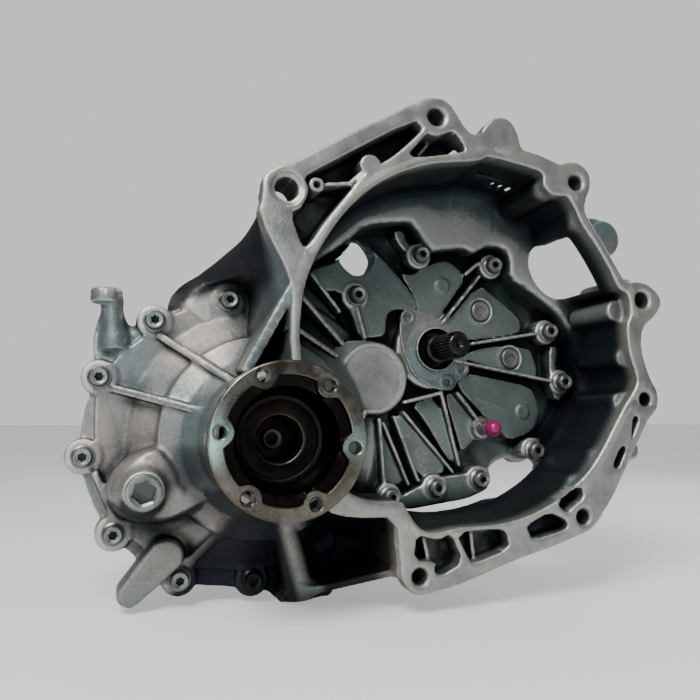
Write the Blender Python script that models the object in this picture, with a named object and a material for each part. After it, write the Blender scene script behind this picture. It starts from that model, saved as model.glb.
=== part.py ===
"""Transverse manual transmission: housings, shafts, gears, differential and selectors.

Frame: +Y is the shaft direction, pointing away from the engine; +Z is up; +X is away from the
differential. Y is measured from the clutch housing's engine face, X and Z from the input shaft's
axis. The root empty then moves everything so the input shaft's front end is at the world origin.
Dimensions are in millimetres and become metres when a mesh is made. "Front" is the engine end.
"""

import math
from typing import NamedTuple

import bmesh
import bpy
from mathutils import Matrix, Vector

for old in list(bpy.data.objects):
    bpy.data.objects.remove(old)

MM = 0.001

# ---- driving dimensions ----------------------------------------------------
# shaft axes, as X and Z
INPUT = (0.0, 0.0)
OUTPUT = (-55.0, -25.0)
DIFF = (-148.0, -71.0)  # differential and drive flanges

# planes along Y
SHAFT_END = 28.0  # front end of the input shaft
Y_FLOOR = 80.0  # floor of the clutch bell
Y_JOINT = 92.0  # clutch housing meets gear case
Y_RECESS = 186.0  # behind this the case makes room for the left drive flange
Y_WALL = 247.0  # front of the gear case's rear bearing wall
Y_COVER = 264.0  # end cover meets gear case
Y_END = 327.0  # outside of the end cover
PIN_Y = 93.0  # spider pin
MIRROR_Y = 90.0  # plane that mirrors the drive flanges
GAP = 0.3  # clearance between touching pieces
Y_CASE = Y_JOINT + GAP
THROUGH_FLOOR = (60, 96)  # Y span of a cut right through the bell's floor

# teeth on the input and output shafts, and Y span, for each forward gear
GEAR_TEETH = {1: (9, 29), 2: (13, 25), 3: (17, 21), 4: (20, 18), 5: (22, 16)}
GEAR_SPANS = {1: (128, 142), 2: (168, 182), 3: (188, 202), 4: (228, 242), 5: (268, 280)}
REVERSE_INPUT, REVERSE_IDLER, REVERSE_OUTPUT = 10, 14, 23
REVERSE_SPAN = (306, 316)
RING_TEETH, PINION_TEETH = 54, 13  # final drive
FINAL_SPAN = (98, 122)
INPUT_BORE, OUTPUT_BORE, OUTPUT_REAR_BORE = 12.3, 16.4, 15.4  # gear bores on each shaft

SHAFT_DISTANCE = math.dist(INPUT, OUTPUT)
MODULE = 2 * SHAFT_DISTANCE / sum(GEAR_TEETH[1])
FINAL_MODULE = 2 * math.dist(OUTPUT, DIFF) / (RING_TEETH + PINION_TEETH)


class Synchroniser(NamedTuple):
    axis: tuple
    hub_radius: float
    middle: float  # Y of the sleeve's groove
    rod_axis: tuple  # shift fork's rod, X and Z
    rod_span: tuple  # along Y


SYNCHRONISERS = {
    "12": Synchroniser(OUTPUT, 24, 155, (-46.0, 30.0), (116, Y_COVER - 2)),
    "34": Synchroniser(INPUT, 22, 215, (30.0, 44.0), (120, Y_COVER - 5)),
    "5r": Synchroniser(OUTPUT, 22, 293, (-82.0, 10.0), (206, 300)),
}
SLEEVE_WALL = 9  # sleeve's outer radius beyond the hub's
SLEEVE_HALF = 8  # half the sleeve's length

DRIVE_R = 50.0  # drive flange outer radius
DRIVE_FACE = -31.3  # outer face of the right drive flange
LOBE_CIRCLE_R = 42.5
HOLE_CIRCLE_R = 43.0
HOLE_PHASE = math.radians(53.3)

SELECT_X, SELECT_Y = 10.0, 153.0  # vertical axis of the selector shaft
SELECT_AXIS = (SELECT_X, SELECT_Y, 0)
COLLAR_Z = 122  # height of the select collar and the relay lever's pivot
RELAY = (SELECT_X, SELECT_Y + 36, COLLAR_Z)

STARTER = (119.0, 76.0)
STARTER_R = 27.0
FILLER = (-231.0, -105.5)
FILLER_SEAT = 32
PIVOT_STUD = (43, -65)
BOLT_HOLE_R = 4.7
BELL_SEAT = 72  # Y under the heads of the bolts in the bell
DIFF_SEAT = Y_JOINT - 16  # and of those round the differential

# ---- outlines: (X, Z) points -----------------------------------------------
# engine flange at the mating plane, clockwise looking along +Y from its upper boss on the -X side
FLANGE_OUT = [
    (-160, 107), (-148, 115), (-135, 121), (-99, 144), (-61, 167), (-42, 178), (-31, 181),
    (-20, 178), (-13, 169), (-4, 157), (5, 157), (10, 165), (17, 171), (26, 173), (33, 170),
    (37, 163), (41, 150), (57, 148), (76, 142), (84, 145), (94, 145), (103, 138), (103, 127),
    (98, 114), (98, 104), (104, 96), (114, 80), (125, 63), (134, 52), (152, 52), (163, 46),
    (169, 38), (163, 28), (148, 14), (147, -3), (153, -22), (161, -38), (159, -50), (151, -56),
    (142, -72), (124, -101), (113, -119), (101, -133), (89, -142), (65, -150), (24, -160),
    (-16, -173), (-45, -178), (-54, -175), (-60, -165), (-66, -160), (-71, -132), (-89, -118),
    (-108, -100), (-125, -75), (-136, -42), (-141, -12), (-140, 36), (-164, 80), (-160, 92),
]
# outside of the bell at the joint plane, point for point with FLANGE_OUT
BELL_BACK = [
    (-192, 52), (-150, 84), (-118, 106), (-96, 118), (-60, 132), (-44, 137), (-31, 140),
    (-20, 141), (-13, 142), (-4, 143), (5, 143), (10, 143), (17, 142), (26, 141), (33, 140),
    (37, 139), (41, 138), (50, 136), (66, 128), (74, 124), (82, 120), (90, 114), (96, 110),
    (100, 106), (102, 102), (106, 94), (113, 80), (120, 66), (126, 54), (130, 46), (133, 40),
    (136, 32), (138, 26), (140, 12), (141, -3), (140, -18), (138, -30), (135, -40), (130, -52),
    (122, -68), (108, -90), (98, -101), (88, -111), (76, -119), (56, -132), (22, -142),
    (-12, -150), (-45, -168), (-70, -180), (-90, -188), (-106, -192), (-126, -190), (-134, -160),
    (-134, -130), (-142, -100), (-148, -60), (-150, -12), (-150, 58), (-214, 36), (-204, 48),
]
# bell mouth, with the pockets beside the bolt bosses
MOUTH = [
    (-32, 131), (0, 136), (8, 139), (12, 142), (56, 136), (61, 132), (60, 124), (67, 117),
    (75, 117), (82, 118), (88, 110), (94, 97), (110, 77), (122, 58), (128, 46), (137, 43),
    (139, 25), (134, 18), (135, -4), (143, -26), (139, -35), (127, -50), (105, -84), (90, -101),
    (66, -118), (40, -129), (14, -134), (-15, -134), (-32, -137), (-40, -136), (-52, -131),
    (-66, -123), (-84, -110), (-102, -93), (-119, -69), (-131, -38), (-135, 0), (-132, 33),
    (-122, 58), (-104, 86), (-82, 108), (-58, 122),
]
# wing that carries the bell over to the differential
WING_FRONT = [
    (-228, -18), (-246, -46), (-251, -80), (-236, -120), (-202, -150), (-160, -156),
    (-110, -140), (-96, -60), (-130, 6), (-180, 12),
]
WING_BACK = [
    (-236, -12), (-256, -40), (-260, -80), (-242, -124), (-204, -158), (-150, -164),
    (-96, -150), (-84, -60), (-120, 20), (-178, 22),
]
WING_WEB = [(-214, 28), (-214, 40), (-150, 62), (-124, 62), (-124, 28)]
WING_HOLLOW = [
    (-152, 18), (-190, 10), (-218, -14), (-236, -50), (-238, -86), (-226, -120), (-196, -146),
    (-152, -154),
]
# window between the differential's dome and the flange's lower leg
WINDOW_FRONT = [(-74, -128), (-74, -164), (-104, -178), (-124, -176), (-122, -140), (-96, -124)]
WINDOW_BACK = [(-72, -134), (-72, -160), (-104, -174), (-118, -172), (-116, -142), (-92, -130)]
FLOOR_OPENINGS = [
    [(-83, 70), (-70, 88), (-56, 84), (-50, 74), (-60, 62), (-72, 60)],
    [(66, -99), (84, -100), (104, -100), (84, -114), (52, -128), (16, -132), (10, -126),
     (48, -119)],
]
FLANGE_POCKETS = [
    [(-132, 111), (-118, 118), (-49, 160), (-43, 156), (-58, 139), (-74, 127), (-99, 122),
     (-112, 110)],
    [(-141, 85), (-129, 96), (-116, 100), (-104, 104), (-99, 100), (-117, 79), (-130, 58)],
    [(-39, 152), (-31, 150), (-18, 156), (-8, 144), (-14, 140), (-48, 133), (-52, 137)],
    [(-51, -139), (-33, -143), (-25, -138), (-15, -158), (-33, -166), (-52, -155)],
    [(-19, -138), (14, -138), (21, -140), (22, -150), (-8, -159)],
    [(39, -136), (57, -128), (71, -132), (70, -140), (44, -145)],
    [(65, -121), (80, -110), (87, -111), (87, -117), (74, -127)],
]
# case joint, shared by both castings
CASE_OUT = [
    (-14, 82), (54, 78), (70, 68), (110, 26), (122, -10), (124, -28), (112, -62), (97, -89),
    (70, -104), (38, -112), (-2, -118), (-42, -128), (-76, -142), (-110, -162), (-138, -178),
    (-150, -181), (-176, -180), (-203, -176), (-228, -160), (-252, -139), (-266, -112),
    (-274, -84), (-272, -54), (-264, -28), (-246, 0), (-226, 18), (-198, 28), (-171, 36),
    (-120, 36), (-70, 47),
]
# outside of the gear case round the shafts, at the front and the rear
BODY = [
    (-12, 74), (50, 70), (66, 58), (100, 22), (112, -10), (112, -30), (100, -60), (86, -80),
    (62, -94), (34, -102), (-4, -107), (-44, -114), (-86, -110), (-104, -96), (-112, -60),
    (-112, 0), (-104, 26), (-70, 38),
]
BODY_BACK = [
    (-12, 62), (40, 58), (56, 46), (78, 20), (88, -10), (88, -28), (78, -54), (66, -70),
    (46, -82), (26, -88), (-4, -92), (-44, -96), (-84, -92), (-100, -78), (-110, -54), (-110, 0),
    (-100, 22), (-66, 34),
]
# outside of the gear case round the differential
BULGE = [
    (-120, 30), (-171, 30), (-222, 12), (-258, -28), (-266, -84), (-244, -134), (-203, -168),
    (-152, -174), (-112, -160), (-70, -134), (-66, 20),
]
BULGE_BACK = [
    (-120, 26), (-168, 22), (-208, 4), (-236, -32), (-242, -82), (-226, -126), (-194, -158),
    (-152, -167), (-112, -158), (-70, -134), (-66, 16),
]
# cavity at the joint and at the rear wall; between them it tapers as far as the recess
INNER = [
    (-12, 68), (47, 64), (61, 54), (94, 20), (106, -10), (106, -29), (95, -57), (82, -75),
    (60, -88), (32, -96), (-4, -101), (-44, -108), (-82, -104), (-96, -92), (-104, -60),
    (-104, 0), (-99, 22), (-70, 32),
]
INNER_BACK = [
    (-12, 56), (37, 52), (51, 42), (72, 18), (82, -10), (82, -27), (73, -51), (62, -65),
    (44, -76), (24, -82), (-4, -86), (-44, -90), (-82, -86), (-95, -74), (-104, -52), (-104, -2),
    (-96, 18), (-66, 28),
]
# cavity behind the recess plane, clear of the left drive flange
INNER_REAR = [
    (-12, 58), (37, 54), (53, 44), (75, 19), (85, -10), (85, -27), (76, -51), (65, -66),
    (46, -77), (26, -83), (-4, -88), (-44, -92), (-74, -88), (-87, -74), (-90, -50), (-101, -36),
    (-102, 0), (-95, 18), (-66, 29),
]
COVER_OUT = [
    (-102, 18), (-84, 28), (-50, 40), (-10, 46), (24, 43), (46, 22), (52, -10), (47, -46),
    (34, -66), (0, -79), (-40, -80), (-72, -76), (-96, -58), (-107, -26), (-107, 0),
]
COVER_CENTRE = (-27, -18)  # point the cover tapers towards
GUIDE_PLATE = [
    (-24, 33), (-31, 26), (-31, 6), (-25, -10), (-18, -24), (4, -34), (17, -34), (21, -24),
    (32, -19), (30, -8), (22, 8), (16, 22), (-14, 32),
]

# ---- hole and rib places ---------------------------------------------------
BELL_BOLTS = [
    (-14, 78), (54, 74), (108, 19), (121, -25), (91, -84), (38, -107), (-2, -113), (-42, -119),
    (-70, 41),
]
DIFF_BOLTS = [
    (-171, 32), (-225, 14), (-262, -28), (-271, -84), (-249, -138), (-203, -172), (-150, -176),
]
# engine flange holes: X, Z, radius
MOUNT_HOLES = [
    (-144, 99, 8.4), (-31, 166, 6.6), (90, 129, 6.0), (150, 38, 6.6), (149, -42, 5.2),
    (87, -131, 5.5), (-48, -166, 5.5),
]
# start, end, front Y
DOME_RIBS = [((-215, 1), (-178, -36), 44), ((-249, -36), (-190, -56), 46)]
# start, end
BELL_RIBS = [
    ((20, 37), (50, 70)), ((37, 6), (104, 18)), ((36, -14), (117, -24)),
    ((-30, -50), (-38, -112)), ((-10, -54), (-2, -104)), ((-80, 2), (-72, 34)),
]


# ---- materials -------------------------------------------------------------
def material(name, colour, roughness, metallic):
    made = bpy.data.materials.new(name)
    made.use_nodes = True
    shader = made.node_tree.nodes["Principled BSDF"]
    shader.inputs["Base Color"].default_value = (*colour, 1.0)
    shader.inputs["Roughness"].default_value = roughness
    shader.inputs["Metallic"].default_value = metallic
    made.diffuse_color = (*colour, 1.0)
    return made


CAST = material("cast_aluminium", colour=(0.62, 0.63, 0.62), roughness=0.55, metallic=0.85)
STEEL = material("steel", colour=(0.52, 0.51, 0.49), roughness=0.35, metallic=1.0)
ZINC = material("zinc_bolt", colour=(0.60, 0.62, 0.60), roughness=0.4, metallic=0.95)
DARK = material("dark_steel", colour=(0.10, 0.10, 0.11), roughness=0.4, metallic=0.9)
FLANGE_STEEL = material("flange_steel", colour=(0.42, 0.36, 0.30), roughness=0.42, metallic=0.9)
RUBBER = material("seal_rubber", colour=(0.03, 0.03, 0.03), roughness=0.7, metallic=0.0)
PLASTIC = material("cap_plastic", colour=(0.45, 0.04, 0.25), roughness=0.3, metallic=0.0)
BRASS = material("brass", colour=(0.70, 0.52, 0.25), roughness=0.35, metallic=1.0)


# ---- outline helpers -------------------------------------------------------
def at(axis, y=0.0):
    """The point at y on a shaft axis given as X and Z."""
    return (axis[0], y, axis[1])


def scaled(points, factor, centre=(0, 0)):
    cx, cz = centre
    return [(cx + (x - cx) * factor, cz + (z - cz) * factor) for x, z in points]


def circle(centre, radius, sides, phase=0.0):
    angles = [phase + 2 * math.pi * i / sides for i in range(sides)]
    return [(centre[0] + radius * math.cos(t), centre[1] + radius * math.sin(t)) for t in angles]


# ---- solids ----------------------------------------------------------------
def object_from(shape):
    bmesh.ops.recalc_face_normals(shape, faces=shape.faces)
    mesh = bpy.data.meshes.new("piece")
    shape.to_mesh(mesh)
    shape.free()
    made = bpy.data.objects.new("piece", mesh)
    bpy.context.scene.collection.objects.link(made)
    return made


def prism(points, y_low, y_high, far_points=None):
    """A solid from an outline at y_low to the same or another outline at y_high."""
    shape = bmesh.new()
    low = [shape.verts.new((x * MM, y_low * MM, z * MM)) for x, z in points]
    high = [shape.verts.new((x * MM, y_high * MM, z * MM)) for x, z in far_points or points]
    shape.faces.new(low)
    shape.faces.new(high)
    for i in range(len(low)):
        j = (i + 1) % len(low)
        if far_points is None:
            shape.faces.new((low[i], low[j], high[j], high[i]))
        else:
            shape.faces.new((low[i], low[j], high[j]))
            shape.faces.new((low[i], high[j], high[i]))
    return object_from(shape)


def rod(axis, radius, y_low, y_high, sides, far_radius=None):
    far = circle(axis, far_radius, sides) if far_radius is not None else None
    return prism(circle(axis, radius, sides), y_low, y_high, far)


def box(x_low, x_high, y_low, y_high, z_low, z_high):
    corners = [(x_low, z_low), (x_high, z_low), (x_high, z_high), (x_low, z_high)]
    return prism(corners, y_low, y_high)


def bar(start, end, width, y_low, y_high, extend=0.0):
    """A straight rib from start to end in the XZ plane."""
    along = (Vector(end) - Vector(start)).normalized()
    side = Vector((-along.y, along.x)) * (width / 2)
    first, last = Vector(start) - along * extend, Vector(end) + along * extend
    return prism([first + side, first - side, last - side, last + side], y_low, y_high)


def place(centre, across, up, along, axis):
    """A point across and up from an axis through centre, and along it."""
    cx, cy, cz = centre
    if axis == "Y":
        return ((cx + across) * MM, (cy + along) * MM, (cz + up) * MM)
    if axis == "Z":
        return ((cx + across) * MM, (cy + up) * MM, (cz + along) * MM)
    return ((cx + along) * MM, (cy + across) * MM, (cz + up) * MM)


def turned(centre, profile, sides, axis="Y"):
    """A solid turned from a closed profile of (radius, position along the axis)."""
    shape = bmesh.new()
    rings = []
    for radius, along in profile:
        outline = [(0, 0)] if radius < 1e-6 else circle((0, 0), radius, sides)
        rings.append([shape.verts.new(place(centre, *point, along, axis)) for point in outline])
    for ring_a, ring_b in zip(rings, rings[1:] + rings[:1]):
        if len(ring_a) == 1 and len(ring_b) == 1:
            continue
        for i in range(sides):
            j = (i + 1) % sides
            if len(ring_a) == 1:
                shape.faces.new((ring_a[0], ring_b[i], ring_b[j]))
            elif len(ring_b) == 1:
                shape.faces.new((ring_a[i], ring_a[j], ring_b[0]))
            else:
                shape.faces.new((ring_a[i], ring_a[j], ring_b[j], ring_b[i]))
    return object_from(shape)


def combine(target, other, operation):
    modifier = target.modifiers.new("cut", "BOOLEAN")
    modifier.operation = operation
    modifier.solver = "EXACT"
    modifier.object = other
    bpy.context.view_layer.update()
    graph = bpy.context.evaluated_depsgraph_get()
    result = bpy.data.meshes.new_from_object(target.evaluated_get(graph))
    target.modifiers.remove(modifier)
    old_mesh, other_mesh = target.data, other.data
    target.data = result
    bpy.data.meshes.remove(old_mesh)
    bpy.data.objects.remove(other)
    bpy.data.meshes.remove(other_mesh)


def add(target, *others):
    for other in others:
        combine(target, other, "UNION")


def cut(target, *others):
    for other in others:
        combine(target, other, "DIFFERENCE")


def finish(made, name, look, origin=(0, 0, 0)):
    """Names, cleans and shades a piece, and puts its origin at a point on its joint's axis."""
    made.name = name
    made.data.name = name
    shape = bmesh.new()
    shape.from_mesh(made.data)
    bmesh.ops.dissolve_degenerate(shape, dist=2e-6, edges=shape.edges)
    bmesh.ops.triangulate(shape, faces=[f for f in shape.faces if len(f.verts) > 4])
    shape.to_mesh(made.data)
    shape.free()
    made.data.materials.clear()
    made.data.materials.append(look)
    made.data.shade_smooth()
    made.data.set_sharp_from_angle(angle=math.radians(32))
    offset = Vector(origin) * MM
    made.data.transform(Matrix.Translation(-offset))
    made.location = offset


# ---- gear helpers ----------------------------------------------------------
def gear(axis, teeth, module, phase, span, bore=0.0):
    """Straight-flanked teeth with backlash; phase is the angle of a tooth's centre."""
    pitch = 2 * math.pi / teeth
    pitch_radius = module * teeth / 2
    tip, root = pitch_radius + 0.75 * module, pitch_radius - 1.0 * module
    points = []
    for k in range(teeth):
        for share, radius in ((-0.31, root), (-0.12, tip), (0.12, tip), (0.31, root)):
            turn = phase + k * pitch + share * pitch
            points.append((axis[0] + radius * math.cos(turn), axis[1] + radius * math.sin(turn)))
    made = prism(points, *span)
    if bore:
        cut(made, rod(axis, bore / math.cos(math.pi / 14), span[0] - 1, span[1] + 1, 14))
    return made


def direction(start, end):
    return math.atan2(end[1] - start[1], end[0] - start[0])


def mate_phase(phase, teeth, mate_teeth, towards_mate):
    """The phase of the gear that meshes with one of this phase, in the direction given."""
    past = (phase - towards_mate) % (2 * math.pi / teeth)
    return towards_mate + math.pi - past * teeth / mate_teeth + math.pi / mate_teeth


TO_OUTPUT = direction(INPUT, OUTPUT)  # also the phase of the input shaft's forward gears
TO_DIFF = direction(OUTPUT, DIFF)
# the reverse idler meshes with both shafts' reverse gears
IDLER_TO_INPUT = MODULE * (REVERSE_INPUT + REVERSE_IDLER) / 2
IDLER_TO_OUTPUT = MODULE * (REVERSE_OUTPUT + REVERSE_IDLER) / 2
TO_IDLER = TO_OUTPUT + math.acos(
    (IDLER_TO_INPUT**2 + SHAFT_DISTANCE**2 - IDLER_TO_OUTPUT**2)
    / (2 * IDLER_TO_INPUT * SHAFT_DISTANCE)
)
IDLER = (IDLER_TO_INPUT * math.cos(TO_IDLER), IDLER_TO_INPUT * math.sin(TO_IDLER))
IDLER_PHASE = mate_phase(TO_IDLER, REVERSE_INPUT, REVERSE_IDLER, TO_IDLER)


def input_gear(number, bore=0.0):
    return gear(INPUT, GEAR_TEETH[number][0], MODULE, TO_OUTPUT, GEAR_SPANS[number], bore)


def output_gear(number, bore=0.0):
    driver, driven = GEAR_TEETH[number]
    phase = mate_phase(TO_OUTPUT, driver, driven, TO_OUTPUT)
    return gear(OUTPUT, driven, MODULE, phase, GEAR_SPANS[number], bore)


def hub(key, half_length):
    sync = SYNCHRONISERS[key]
    low, high = sync.middle - half_length, sync.middle + half_length
    return rod(sync.axis, sync.hub_radius, low, high, 14)


# ---- castings --------------------------------------------------------------
def clutch_housing():
    flange_thickness = 14.0
    housing = prism(FLANGE_OUT, 0, flange_thickness)
    add(
        housing,
        prism(scaled(FLANGE_OUT, 0.985), flange_thickness - 2, Y_JOINT, BELL_BACK),
        prism(WING_FRONT, 58, Y_JOINT, WING_BACK),
        rod(DIFF, 74, 30, 62, 24, 92),  # differential's dome
    )
    cut(housing, prism(MOUTH, -1, Y_FLOOR, scaled(MOUTH, 0.995)))
    # the dome again, where the mouth cut into it, and its nose
    add(
        housing,
        rod(DIFF, 42, -8, 34, 24, 72),
        rod(DIFF, 72, 33, Y_JOINT, 24),
        prism(WING_WEB, 84, Y_JOINT),
    )

    joint = prism(CASE_OUT, Y_JOINT - 12, Y_JOINT)
    for bolt_place in DIFF_BOLTS:
        add(joint, rod(bolt_place, 13, DIFF_SEAT, Y_JOINT, 10))
    add(housing, joint)
    for bolt_place in BELL_BOLTS:
        add(housing, rod(bolt_place, 11, BELL_SEAT, Y_JOINT, 8))

    spout = [(0, 0), (8, 0), (8, 40), (11, 42), (11, 52), (0, 52)]
    add(
        housing,
        bar((-230, -160), (-243, -180), 22, 66, Y_JOINT, 4),  # foot lug
        rod(FILLER, 24, FILLER_SEAT, Y_JOINT - 2, 12, 28),
        turned((-254, 84, -16), spout, 10, axis="Z"),  # breather
        rod(OUTPUT, 29, 71, Y_JOINT, 20),  # bearing bosses
        rod(INPUT, 28, 76, Y_JOINT, 16),
    )
    for start, end, y_front in DOME_RIBS:
        add(housing, bar(start, end, 5, y_front, 84))
    for start, end in BELL_RIBS:
        add(housing, bar(start, end, 4, 73, Y_FLOOR + 2))

    cut(housing, rod(STARTER, STARTER_R, *THROUGH_FLOOR, 16))
    for opening in FLOOR_OPENINGS:
        cut(housing, prism(opening, *THROUGH_FLOOR))
    for pocket in FLANGE_POCKETS:
        cut(housing, prism(pocket, -1, 36))
    cut(housing, prism(WINDOW_FRONT, -1, 72, WINDOW_BACK))
    for x, z, radius in MOUNT_HOLES:
        cut(housing, rod((x, z), radius, -1, 40, 10))
    cut(
        housing,
        # inside of the dome
        rod(DIFF, 60, 40, Y_JOINT + 1, 24, 62),
        prism(WING_HOLLOW, 70, Y_JOINT + 1),
        # differential's bearing seat, bore and seal seat
        rod(DIFF, 36.8, 30, 41, 20),
        rod(DIFF, 18, 8, 31, 12),
        rod(DIFF, 38.5, -9, 9, 20),
        # input shaft's bore, and both shafts' bearing seats
        rod(INPUT, 12.6, *THROUGH_FLOOR, 12),
        rod(INPUT, 20.8, 80, 96, 16),
        rod(OUTPUT, 25.9, 77, 96, 16),
    )
    for bolt_place in BELL_BOLTS + DIFF_BOLTS:
        cut(housing, rod(bolt_place, BOLT_HOLE_R, *THROUGH_FLOOR, 8))
    cut(housing, rod(FILLER, 9.8, 30, 60, 10), rod(PIVOT_STUD, 4.6, 70, 84, 8))
    finish(housing, "clutch_housing", CAST)


def gear_case():
    case = prism(CASE_OUT, Y_CASE, Y_CASE + 12)
    for bolt_place in BELL_BOLTS + DIFF_BOLTS:
        add(case, rod(bolt_place, 12, Y_CASE, Y_CASE + 22, 8, 9))
    add(
        case,
        prism(BODY, Y_CASE + 6, Y_COVER, BODY_BACK),
        prism(BULGE, Y_CASE + 6, 146, BULGE_BACK),
        rod(DIFF, 56, 140, 184, 20, 44),
        box(-18, 38, 126, 180, 50, 76),  # pad under the selector cover
    )
    # the tapering cavity's outline at the recess plane
    share = (Y_RECESS - Y_CASE) / (Y_WALL - Y_CASE)
    inner_mid = [
        (x + (x_back - x) * share, z + (z_back - z) * share)
        for (x, z), (x_back, z_back) in zip(INNER, INNER_BACK)
    ]
    seat = (Y_WALL - 1, Y_COVER - 4)
    wall_bore = (Y_COVER - 6, Y_COVER + 1)
    selector_bore = [(0, 40), (17.3, 40), (17.3, 78), (0, 78)]
    cut(
        case,
        # room for the differential, then its bearing seat, outer seat and bore
        rod(DIFF, 96, Y_CASE - 1, 126, 24, 89),
        rod(DIFF, 72, 120, 140, 20, 62),
        rod(DIFF, 48, 130, 150, 16),
        rod(DIFF, 36.8, 149, 164, 20),
        rod(DIFF, 38, 174, 186, 20),
        rod(DIFF, 18, 162, 176, 12),
        # cavity round the shafts
        prism(INNER, Y_CASE - 1, Y_RECESS - 4, inner_mid),
        prism(INNER_REAR, Y_RECESS - 6, Y_WALL, scaled(INNER_REAR, 0.97)),
        # recess for the left drive flange
        rod(DIFF, 52.5, Y_RECESS, Y_COVER + 5, 24),
        # bearing seats and shaft bores in the rear wall
        rod(INPUT, 24.8, *seat, 16),
        rod(OUTPUT, 26.8, *seat, 16),
        rod(INPUT, 14, *wall_bore, 12),
        rod(OUTPUT, 16.4, *wall_bore, 12),
        turned(SELECT_AXIS, selector_bore, 12, axis="Z"),
    )
    for sync in SYNCHRONISERS.values():
        cut(case, rod(sync.rod_axis, 6.6, Y_WALL - 1, Y_COVER + 1, 8))
    for bolt_place in BELL_BOLTS + DIFF_BOLTS:
        cut(case, rod(bolt_place, BOLT_HOLE_R, Y_CASE - 1, Y_CASE + 18, 8))
    finish(case, "gear_case", CAST)


def end_cover():
    smaller = scaled(COVER_OUT, 0.93, COVER_CENTRE)
    smallest = scaled(COVER_OUT, 0.87, COVER_CENTRE)
    cover = prism(COVER_OUT, Y_COVER + GAP, Y_END, smaller)
    cut(cover, prism(smaller, Y_COVER - 1, Y_END - 5, smallest))
    finish(cover, "end_cover", CAST)


# ---- fasteners and small pieces --------------------------------------------
def bolts(prefix, places, seat):
    profile = [
        (0, -9), (6.8, -9), (6.8, -1.8), (9, -1.8), (9, -GAP), (4, -GAP), (4, 32), (0, 32),
    ]
    for i, bolt_place in enumerate(places):
        finish(turned(at(bolt_place, seat), profile, 8), f"{prefix}_{i + 1}", ZINC)


def filler_plug():
    profile = [
        (0, -1), (5.5, -1), (5.5, -6), (12, -6), (12, -GAP), (9, -GAP), (9, 14), (0, 14),
    ]
    finish(turned(at(FILLER, FILLER_SEAT), profile, 10), "filler_plug", ZINC)


def release_guide_plate():
    plate = prism(GUIDE_PLATE, 72.2, 75.7)
    cut(plate, rod(INPUT, 12.6, 70, 78, 12))
    for hole in ((-24, 26), (11, -27), (25, -15)):
        cut(plate, rod(hole, 2.6, 70, 78, 6))
    finish(plate, "release_guide_plate", CAST)


def release_pivot():
    centre = at(PIVOT_STUD, Y_FLOOR)
    stud = [
        (0, 3), (4, 3), (4, -GAP), (9, -GAP), (9, -7), (6, -7), (4, -18), (4, -25), (0, -25),
    ]
    cap = [
        (0, -25.4), (4.3, -25.4), (4.3, -18.6), (6.6, -18.6), (8.3, -22.5), (8.3, -27),
        (5.5, -32.2), (0, -33.8),
    ]
    finish(turned(centre, stud, 10), "release_pivot_stud", STEEL)
    finish(turned(centre, cap, 12), "pivot_stud_cap", PLASTIC)


def seal_and_bearings():
    rear = (Y_WALL + 0.5, Y_COVER - 5)
    # name, material, axis, bore radius, outer radius, Y span, sides
    rings = [
        ("flange_seal_right", RUBBER, DIFF, 34.4, 37.6, (-6, 6), 18),
        ("input_bearing_front", STEEL, INPUT, 12.4, 20, (81, 91), 16),
        ("input_bearing_rear", STEEL, INPUT, 14.4, 24, rear, 16),
        ("output_bearing_front", STEEL, OUTPUT, 15.4, 25, (78, 91), 16),
        ("output_bearing_rear", STEEL, OUTPUT, 15.4, 26, rear, 16),
        ("differential_bearing_right", STEEL, DIFF, 24.4, 36, (31, 43), 18),
        ("differential_bearing_left", STEEL, DIFF, 24.4, 36, (149.5, 162), 18),
    ]
    for name, look, axis, bore, outer, (low, high), sides in rings:
        bore /= math.cos(math.pi / sides)  # the flats of the bore clear what turns in it
        profile = [(bore, low), (outer, low), (outer, high), (bore, high)]
        finish(turned(at(axis), profile, sides), name, look)


# ---- shafts and gears ------------------------------------------------------
def input_shaft():
    splines = 14
    crest, valley = 10.6, 9.4
    outline = []
    for k in range(splines):
        for share, radius in ((0.0, crest), (0.5, crest), (0.5, valley), (1.0, valley)):
            turn = 2 * math.pi * (k + share) / splines
            outline.append((radius * math.cos(turn), radius * math.sin(turn)))
    shaft = prism(outline, SHAFT_END, 64)
    profile = [
        (0, 30), (9, 30), (9, 62), (11.2, 64), (11.9, 80), (11.9, Y_COVER - 30),
        (13.4, Y_COVER - 30), (13.4, Y_COVER - 5), (12, Y_COVER - 5), (12, Y_END - 10),
        (0, Y_END - 10),
    ]
    add(
        shaft,
        turned(at(INPUT), profile, 14),
        input_gear(1),
        input_gear(2),
        hub("34", 8),
        input_gear(5),
        gear(INPUT, REVERSE_INPUT, MODULE, TO_IDLER, REVERSE_SPAN),
    )
    finish(shaft, "input_shaft", DARK, at(INPUT))


def output_shaft():
    profile = [
        (0, 79), (15, 79), (15, 98), (16, 98), (16, Y_WALL), (15, Y_WALL), (15, Y_END - 10),
        (0, Y_END - 10),
    ]
    shaft = turned(at(OUTPUT), profile, 14)
    add(
        shaft,
        gear(OUTPUT, PINION_TEETH, FINAL_MODULE, TO_DIFF, FINAL_SPAN),
        hub("12", 8),
        output_gear(3),
        output_gear(4),
        hub("5r", 7),
    )
    finish(shaft, "output_shaft", DARK, at(OUTPUT))


def loose_gears():
    # narrower than its mate, which leaves room for the 3-4 sleeve's side of the shaft
    gear_4_span = (GEAR_SPANS[4][0], 233.7)
    gear_4 = gear(INPUT, GEAR_TEETH[4][0], MODULE, TO_OUTPUT, gear_4_span, INPUT_BORE)
    finish(input_gear(3, INPUT_BORE), "gear_3_input", STEEL, at(INPUT))
    finish(gear_4, "gear_4_input", STEEL, at(INPUT))
    for number, bore in ((1, OUTPUT_BORE), (2, OUTPUT_BORE), (5, OUTPUT_REAR_BORE)):
        finish(output_gear(number, bore), f"gear_{number}_output", STEEL, at(OUTPUT))


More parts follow.
